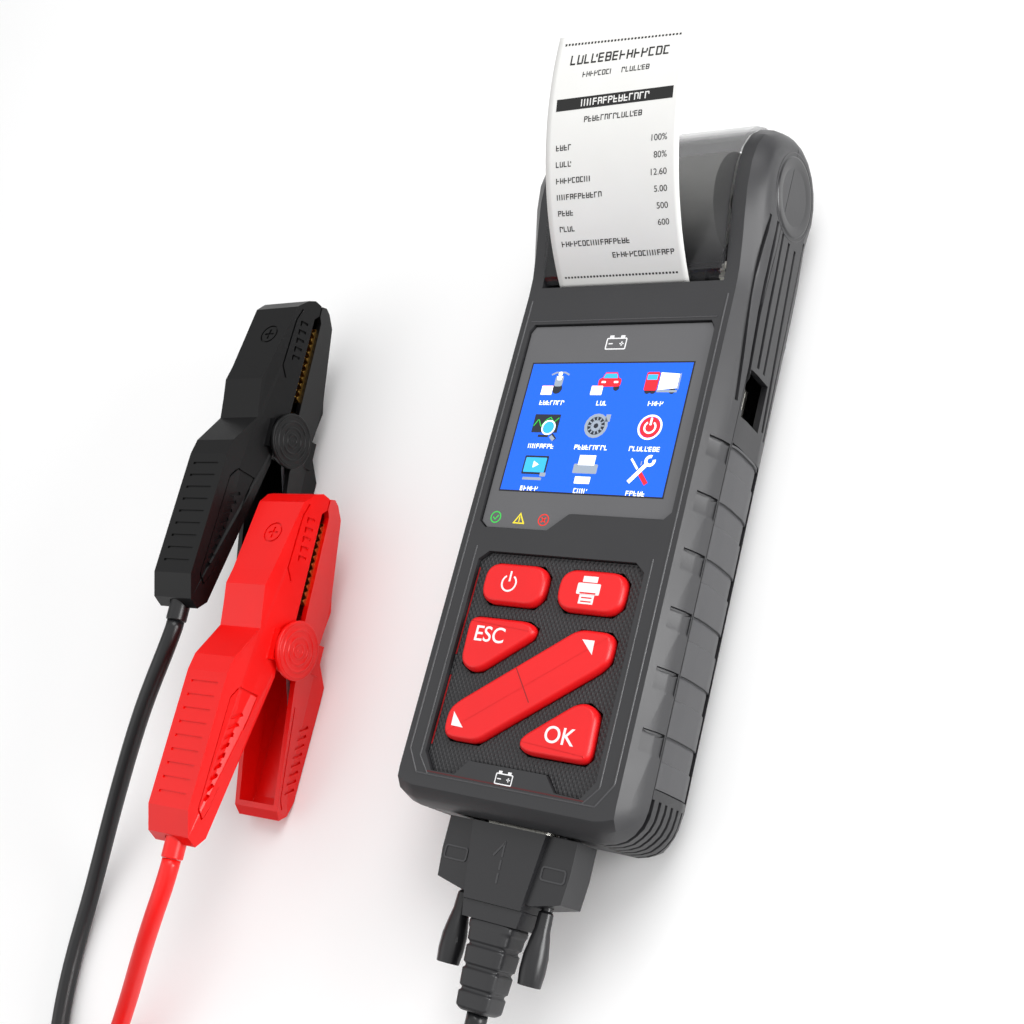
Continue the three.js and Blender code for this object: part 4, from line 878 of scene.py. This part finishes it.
# The strain relief tapers along the cable. Its section is |x/a|^6.7 + |z/b|^6.7 = 1, and a and b drop by
# 0.7 mm in each of three grooves and swell by 0.5 mm at the collar.
relief_y = np.linspace(-173.0, -203, 90)
groove = sum(np.exp(-((relief_y - y) / 0.8) ** 4) for y in (-181, -188.5, -196))
collar = np.exp(-((relief_y + 174.6) / 1.4) ** 4)
end_round = 1 - 0.25 * np.clip((-201.2 - relief_y) / 1.8, 0, 1) ** 2
half_x = (8.8 - 2.2 * (-173.3 - relief_y) / 29.7) * end_round - 0.7 * groove + 0.4 * collar
half_z = (7 - (-173.3 - relief_y) / 29.7) * end_round - 0.7 * groove + 0.3 * collar
a = np.arange(48) * 2 * np.pi / 48
cx, cz = (np.sign(f(a)) * np.abs(f(a)) ** 0.3 for f in (np.cos, np.sin))
rings = np.stack([half_x[:, None] * cx, np.broadcast_to(relief_y[:, None], (90, 48)),
                  28 + half_z[:, None] * cz],
                 axis=-1)
relief_faces = grid_faces(90, 48, wrap=True).tolist() + [list(range(48))[::-1],
                                                         [89 * 48 + k for k in range(48)]]
relief = link_object("cable_relief", outward(new_mesh("cable_relief", rings, relief_faces)), plug_pvc)
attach(relief, "tester")
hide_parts("strain_relief")

# ---------------------------------------------------------------------------------------------
# Clamps: two glossy ABS halves on a pivot, with gold plated toothed jaws inside. The sides carry a
# cross in a ring near the nose, raised panels and slanted grip notches, and a ringed pivot cap.
# ---------------------------------------------------------------------------------------------
red_abs = moulded("Moulded ABS, signal red, glossy", "#f00603", "#dc0402", 0.32, 0.8, 0.012,
                  Specular_IOR_Level=0.4)
black_abs = moulded("Moulded ABS, black, semi-gloss", "#080809", "#060607", 0.4, 0.8, 0.012,
                    Specular_IOR_Level=0.3)
gold_plate = moulded("Copper, gold coloured plating", "#d3a85a", "#b98b3f", 0.3, 0.3, 0.02, metal=1.0)
spring_steel = moulded("Spring steel wire, drawn", "#a9abb0", "#8e9095", 0.3, 0.3, 0.006, metal=1.0)
CLAMP_ALONG = np.array((-0.034852, 0.998021, 0.052336))
CLAMP_UP = np.array((0.001826, -0.052304, 0.99863))
CLAMP_SIDE = np.array((0.999391, 0.034899, 0.0))
CLAMPS = (("red", (-145.191, -88.641, 29.1), red_abs),
          ("black", (-185.791, 5.459, 29.1), black_abs))
HALF_WIDTH = 15.5
BACK_WIDTH = 11.2


def clamp_place(centre, height, flip=1):
    """(u along the jaws, v from the middle line, height over the side face) to its place in 3-D.

    The side face leans in from 15.5 mm at v = 0 to 11.2 mm at v = 20, and is upright above that."""
    def place(p):
        u, v = p[:, 0], p[:, 1]
        face = HALF_WIDTH + (BACK_WIDTH - HALF_WIDTH) * np.clip(v / 20, 0, 1)
        w = face + p[:, 2] + height
        return (np.array(centre) + u[:, None] * CLAMP_ALONG + (flip * v)[:, None] * CLAMP_UP
                + w[:, None] * CLAMP_SIDE)
    return place


def top_place(centre, start, end, flip=1):
    """(distance from start along the back face, across it, height over it) to its place in 3-D.

    start and end are (u, v) points of the clamp's outline with a flat face between them."""
    (u0, v0), (u1, v1) = start, end
    long = math.hypot(u1 - u0, v1 - v0)
    du, dv = (u1 - u0) / long, (v1 - v0) / long

    def place(p):
        u = u0 + du * p[:, 0] + dv * p[:, 2]
        v = v0 + dv * p[:, 0] - du * p[:, 2]
        return (np.array(centre) + u[:, None] * CLAMP_ALONG + (flip * v)[:, None] * CLAMP_UP
                + p[:, 1][:, None] * CLAMP_SIDE)
    return place


def engraving(loops_list, place, thickness):
    """Closed cutters for outlines sunk into a face, as points and faces for cut_copy."""
    made = []
    for loops in loops_list:
        mesh = flat_mesh("engraving", loops, thickness)
        work = bmesh.new()
        work.from_mesh(mesh)
        bmesh.ops.remove_doubles(work, verts=work.verts, dist=0.001)
        work.to_mesh(mesh)
        work.free()
        flat = np.empty(len(mesh.vertices) * 3)
        mesh.vertices.foreach_get("co", flat)
        made.append((place(flat.reshape(-1, 3)), [list(p.vertices) for p in mesh.polygons]))
        bpy.data.meshes.remove(mesh)
    return made


def true_sides(centre, flip):
    """Puts the outer side faces on the true form: |w| falls from 15.5 mm at v = 0 to 11.2 mm at v = 20.

    The mesh is first cut at v = 0 and v = 20, so that each side face is then flat."""
    middle, up, side = Vector(centre) * MM, Vector(CLAMP_UP) * flip, Vector(CLAMP_SIDE)
    along = Vector(CLAMP_ALONG)

    def prepare(work):
        for level in (0, 20):
            bmesh.ops.bisect_plane(work, geom=work.verts[:] + work.edges[:] + work.faces[:],
                                   plane_co=middle + up * level * MM, plane_no=up)
        work.normal_update()
        outer = {}
        for face in work.faces:
            out = face.normal.dot(side)
            hand = math.copysign(1, (face.calc_center_median() - middle).dot(side))
            eared = all(abs((v.co - middle).dot(along)) < 9.8 * MM and (v.co - middle).dot(up) < 21.6 * MM
                        for v in face.verts)
            if out * hand > 0.7 and not eared:
                outer.update({v: hand for v in face.verts})
        for vert, hand in outer.items():
            from_middle = vert.co - middle
            share = min(1, max(0, from_middle.dot(up) / (20 * MM)))
            true = (HALF_WIDTH + (BACK_WIDTH - HALF_WIDTH) * share) * MM * hand
            vert.co += side * (true - from_middle.dot(side))
    return prepare


NOSE_FACE = ((61, 12.5), (29, 19.5))
GRIP_FACE = ((-17, 30.3), (-72, 33))
PLUS = np.array([(-2.6, -0.5), (-0.5, -0.5), (-0.5, -2.6), (0.5, -2.6), (0.5, -0.5), (2.6, -0.5),
                 (2.6, 0.5), (0.5, 0.5),
                 (0.5, 2.6), (-0.5, 2.6), (-0.5, 0.5), (-2.6, 0.5)])
ring_loops = [[circle(15, 2.6, 4.8, 40), circle(15, 2.6, 4.0, 40)], [PLUS + (15, 2.6)]]
side_panel = np.array([(-22, 12.5), (-70, 22.6), (-75, 25), (-71, 28.2), (-25, 25.6), (-20.5, 22)])
panel_line = [[dense(np.vstack([side_panel, side_panel[:1]]), 1.5)[:-1],
               dense(np.vstack([side_panel, side_panel[:1]]) * (0.965, 0.93) + (-1.7, 1.5), 1.5)[:-1]]]
upper_side = [[stroke([(-31 - 4.2 * k, 17.4 + 0.9 * k), (-33.4 - 4.2 * k, 22.6 + 0.45 * k)],
                      1.5)] for k in range(9)]
upper_side += [[stroke([(55 - 4.2 * k, 5), (55 - 4.2 * k, 8.6)], 1.2), ] for k in range(5)]
upper_side += [[stroke([(55.6 - 4.2 * k, 8.6), (53 - 4.2 * k, 8.6)], 0.8)] for k in range(5)]
upper_side += [[stroke(dense([(61, 9.4), (55, 11.4), (32, 12.6), (27, 9.6)], 1.0), 0.7)]]
upper_back = [[box(4.6 + 5.6 * k, 0, 1.1, 15)] for k in range(9)]
lower_side = [[stroke([(-28 - 3.8 * k, 24), (-30.6 - 3.8 * k, 18.6)], 1.2)] for k in range(8)]
lower_side += [[stroke(dense([(-22, 10.8), (-60, 16.4), (-64, 19)], 1.0), 0.7)]]
for prefix, centre, shell in CLAMPS:
    grip = f"{prefix}_grip"
    side_up, side_low = clamp_place(centre, 0), clamp_place(centre, 0, -1)
    tools = engraving(upper_side + panel_line, side_up, 1.6)
    tools += engraving(ring_loops, top_place(centre, *NOSE_FACE), 1.2)
    tools += engraving(upper_back, top_place(centre, *GRIP_FACE), 1.2)
    upper_shell = cut_copy(f"{prefix}_upper_half", f"{prefix}_upper_shell", tools, true_sides(centre, 1))
    lower_shell = cut_copy(f"{prefix}_lower_half", f"{prefix}_lower_shell",
                           engraving(lower_side, side_low, 1.6),
                           true_sides(centre, -1))
    for piece, node, body in ((upper_shell, "upper_half", grip), (lower_shell, "lower_half", "tester")):
        piece.data.materials.clear()
        piece.data.materials.append(shell)
        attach(piece, body)
        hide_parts(f"{prefix}_{node}")
        soften([piece], 0.7, 3, 28, smooth=False)
    dress([f"{prefix}_pivot_pin", f"{prefix}_pivot_cap"], shell)
    soften([f"{prefix}_pivot_pin", f"{prefix}_pivot_cap"], 0.6, 3, 40)
    dress([f"{prefix}_upper_jaw", f"{prefix}_lower_jaw"], gold_plate)
    soften([f"{prefix}_upper_jaw", f"{prefix}_lower_jaw"], 0.15, 1, 40)
    dress([f"{prefix}_spring"], spring_steel)
    # Beside each jaw plate its teeth run on to the wall of the half: v(u) is a saw of 3.2 mm pitch.
    teeth_u = np.arange(20, 56.2, 0.8)
    saw = 0.4 + 1.8 * np.abs(((teeth_u - 20) / 1.6) % 2 - 1)
    for flip, jaw, body in ((1, "upper", grip), (-1, "lower", "tester")):
        low, high = np.broadcast_to(saw, teeth_u.shape), np.full(teeth_u.shape, 3.6)
        for hand in (1, -1):
            w0, w1 = np.full(teeth_u.shape, 7.6 * hand), np.full(teeth_u.shape, 13.0 * hand)
            corner = [np.array(centre) + teeth_u[:, None] * CLAMP_ALONG + (flip * v)[:, None] * CLAMP_UP
                      + w[:, None] * CLAMP_SIDE for v, w in ((low, w0), (low, w1), (high, w1), (high, w0))]
            count = len(teeth_u)
            faces = grid_faces(count, 4, wrap=True).tolist() + [[3, 2, 1, 0],
                                                                [4 * count - 4 + k for k in range(4)]]
            name = f"{prefix}_{jaw}_teeth_{'near' if hand > 0 else 'far'}"
            teeth = link_object(name, outward(new_mesh(name, np.stack(corner, axis=1), faces, smooth=False)),
                                gold_plate)
            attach(teeth, body)
    # The cap's face is turned in rings: r runs out in steps that rise and fall 0.5 mm.
    r = np.linspace(0.01, 11.6, 47)
    w = HALF_WIDTH + 2.25 + 0.35 * np.cos(r * 2 * np.pi / 2.9)
    w[-1] = HALF_WIDTH + 1.6
    turn = np.arange(64) * 2 * np.pi / 64
    rings = (np.array(centre) + (r[:, None] * np.cos(turn))[..., None] * CLAMP_ALONG
             + (r[:, None] * np.sin(turn))[..., None] * CLAMP_UP
             + np.broadcast_to(w[:, None], (47, 64))[..., None] * CLAMP_SIDE)
    faces = grid_faces(47, 64, wrap=True)
    cap_name = f"{prefix}_cap_rings"
    cap_face = link_object(cap_name, new_mesh(cap_name, rings, faces), shell)
    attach(cap_face, "tester")

# ---------------------------------------------------------------------------------------------
# Lead: round PVC cable, 7.5 mm across. The main cable leaves the plug, is wound flat for storage
# and ends in a moulded fork; a red and a black branch go on to the clamps.
# ---------------------------------------------------------------------------------------------
CABLE_DIAMETER = 7.5 * MM
MAIN_START = [
    (0, -203.1, 28), (0, -214, 27.4), (-1.5, -227, 24.2), (-5, -242, 17.6), (-10.5, -258, 10.4),
    (-19, -276, 5.6), (-31, -294, 4), (-46, -311, 4), (-61, -330, 4), (-73, -350, 4), (-80.5, -371, 4),
]
MAIN_END = [
    (-149, -418, 10.4), (-162, -408, 12), (-170.8, -395.5, 12.2),
    (-174.6, -380, 12.2), (-174.6, -363.6, 12.3), (-170, -349.4, 12.4), (-160.2, -338.8, 12.5),
    (-146.9, -333.3, 12.5), (-133.9, -333.5, 12.5), (-124, -337.3, 12.5), (-115.7, -343.9, 12.5),
]
RED_ROUTE = [
    (-87.2, -369.3, 12.5), (-78.6, -379.6, 12.4), (-72, -391.8, 11.4), (-68.6, -405, 9), (-70, -419, 6),
    (-76.2, -432.6, 4.2), (-88.4, -444.6, 4), (-104.5, -451.6, 4), (-122, -453.4, 4), (-140, -452, 4),
    (-158, -445.6, 4), (-174.2, -433.2, 4), (-186.2, -415, 4), (-192.2, -393, 4), (-193.6, -370, 4),
    (-193, -350, 4), (-191.4, -331, 4), (-189.8, -312, 4), (-188.2, -293, 4.2), (-186, -276, 5.4),
    (-182, -260, 9), (-175.5, -246, 15), (-168, -234, 22.5), (-160, -222.8, 30.8), (-153, -212.8, 37.8),
    (-147, -202.6, 43.6), (-143.2, -193.4, 47), (-141.9, -183.3, 48.4), (-142, -180.9, 48.5),
]
BLACK_ROUTE = [
    (-93.4, -374.9, 12.5), (-86.2, -384.4, 12.4), (-80.8, -396, 12), (-78.6, -409.4, 9.8),
    (-81.4, -422.8, 6.8), (-90.4, -434.4, 4.6), (-104, -441.6, 4), (-119.6, -444.6, 4), (-137, -443.8, 4),
    (-153.6, -438.2, 4), (-168.8, -427, 4), (-179.8, -411, 4), (-184.6, -391.6, 4.2), (-185, -373, 6.3),
    (-185, -357, 9.8), (-187, -342, 12.2), (-191.5, -328, 12), (-197.5, -313, 9), (-204.5, -298, 5.4),
    (-213, -283, 4), (-220.5, -265, 4), (-225, -246, 4), (-227, -227, 4.3), (-226, -208, 6.2),
    (-222.8, -190, 10.6), (-217.3, -172, 17.2), (-210, -155, 25), (-202, -139, 33), (-194.6, -124, 39.8),
    (-188.4, -111, 44.6), (-184.2, -99.5, 47.4), (-182.5, -89.2, 48.4), (-182.6, -86.9, 48.5),
]


def smooth_route(points, step=2.5 * MM):
    """Even points along a centripetal Catmull-Rom curve through the route, first eased a little.

    Between two points the curve is the blend of the lines through their neighbours, weighted by
    the square root of the distances. The result is then resampled at equal arc length."""
    route = np.array(points, float) * MM
    ends = np.vstack([2 * route[0] - route[1], route, 2 * route[-1] - route[-2]])
    dense = []
    for i in range(1, len(ends) - 2):
        p0, p1, p2, p3 = ends[i - 1:i + 3]
        t1 = np.linalg.norm(p1 - p0) ** 0.5
        t2 = t1 + np.linalg.norm(p2 - p1) ** 0.5
        t3 = t2 + np.linalg.norm(p3 - p2) ** 0.5
        t = np.linspace(t1, t2, 24, endpoint=False)[:, None]
        a = p0 + (p1 - p0) * t / t1
        b = p1 + (p2 - p1) * (t - t1) / (t2 - t1)
        c = p2 + (p3 - p2) * (t - t2) / (t3 - t2)
        d = a + (b - a) * t / t2
        e = b + (c - b) * (t - t1) / (t3 - t1)
        dense.append(d + (e - d) * (t - t1) / (t2 - t1))
    line = np.vstack(dense + [route[-1:]])
    for _ in range(60):
        line[1:-1] = line[1:-1] * 0.5 + (line[:-2] + line[2:]) * 0.25
    along = np.concatenate([[0], np.cumsum(np.linalg.norm(np.diff(line, axis=0), axis=1))])
    even = np.linspace(0, along[-1], max(8, round(along[-1] / step)))
    return np.stack([np.interp(even, along, line[:, k]) for k in range(3)], axis=1)


def tube_mesh(name, path, radius, sides=20):
    """A closed round tube: each ring is path point + radius (cos a * N + sin a * B).

    N is carried along the path, made square to each tangent in turn, and B = T x N."""
    tangent = np.gradient(path, axis=0)
    tangent /= np.linalg.norm(tangent, axis=1)[:, None]
    normal = np.zeros_like(path)
    side = np.cross(tangent[0], (0, 0, 1.0) if abs(tangent[0][2]) < 0.9 else (1.0, 0, 0))
    for i, t in enumerate(tangent):
        side = side - t * side.dot(t)
        side /= np.linalg.norm(side)
        normal[i] = side
    binormal = np.cross(tangent, normal)
    a = np.arange(sides) * 2 * np.pi / sides
    rings = path[:, None] + radius * (np.cos(a)[None, :, None] * normal[:, None]
                                      + np.sin(a)[None, :, None] * binormal[:, None])
    count = len(path)
    ring, spoke = np.meshgrid(np.arange(count - 1), np.arange(sides), indexing="ij")
    after = (spoke + 1) % sides
    quads = np.stack([ring * sides + spoke, ring * sides + after,
                      (ring + 1) * sides + after, (ring + 1) * sides + spoke], axis=-1).reshape(-1, 4)
    mesh = bpy.data.meshes.new(name)
    caps = [list(range(sides))[::-1], [(count - 1) * sides + k for k in range(sides)]]
    mesh.from_pydata(rings.reshape(-1, 3).tolist(), [], quads.tolist() + caps)
    mesh.polygons.foreach_set("use_smooth", [len(p.vertices) == 4 for p in mesh.polygons])
    mesh.update()
    return mesh


def cable_pvc(name, base):
    """Extruded PVC cable: smooth satin skin with a very faint ripple from the wires inside."""
    made = new_material(name, base, 0.34)
    tree = made.node_tree
    place = add_node(tree, "TexCoord")
    ripple = add_node(tree, "TexNoise", [("Vector", place.outputs["Object"]), ("Scale", 160.0)])
    bump = add_node(tree, "Bump", [("Height", ripple.outputs["Fac"]), ("Distance", 0.0002),
                                   ("Strength", 0.25)])
    tree.links.new(bump.outputs["Normal"], tree.nodes["Principled BSDF"].inputs["Normal"])
    return made


black_pvc = cable_pvc("PVC cable, black", "#111113")
red_pvc = cable_pvc("PVC cable, red", "#f00a05")

COIL_CENTRE = np.array((-130.0, -385.0))
COIL_FIRST_R = 46.5
COIL_PITCH = 7.9
COIL_TURNS = 1.2
coil_turn = np.linspace(0, COIL_TURNS, 22)
coil_angle = -coil_turn * 2 * np.pi
coil_r = COIL_FIRST_R - COIL_PITCH * coil_turn
coil_lift = 4 + 4.2 * np.clip((coil_turn - 1.1) / 0.14, 0, 1) ** 2
coil_points = np.stack([COIL_CENTRE[0] + coil_r * np.cos(coil_angle),
                        COIL_CENTRE[1] + coil_r * np.sin(coil_angle), coil_lift], axis=1)

main_path = smooth_route(MAIN_START + coil_points.tolist() + MAIN_END)
red_path = smooth_route(RED_ROUTE)
black_path = smooth_route(BLACK_ROUTE)


def route_length(path):
    return float(np.linalg.norm(np.diff(path, axis=0), axis=1).sum())


CABLE_RADIUS = CABLE_DIAMETER / 2
main_cable = link_object("main_cable", tube_mesh("main_cable", main_path, CABLE_RADIUS), black_pvc)
red_cable = link_object("red_cable", tube_mesh("red_cable", red_path, CABLE_RADIUS), red_pvc)
black_cable = link_object("black_cable", tube_mesh("black_cable", black_path, CABLE_RADIUS), black_pvc)

for prefix, material in (("red", red_pvc), ("black", black_pvc)):
    dress([f"{prefix}_boot"], material)
    soften([f"{prefix}_boot"], 0.6, 3, 40)
fork_pvc = moulded("Overmoulded PVC, black", "#19191b", "#151517", 0.4, 0.6, 0.02)
dress(["splitter"], fork_pvc)
soften(["splitter"], 2.2, 4, 30)

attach(main_cable, "tester")
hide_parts("lead_main", "lead_coil", "lead_rise")
route_length(main_path)
for prefix, cable, path, lead in (("red", red_cable, red_path, "lead_red"),
                                  ("black", black_cable, black_path, "lead_black")):
    tuple(path[-32])
    tuple(path[-2])
    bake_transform(cable)
    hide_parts(lead)
    tuple(path[0])
    route_length(path)
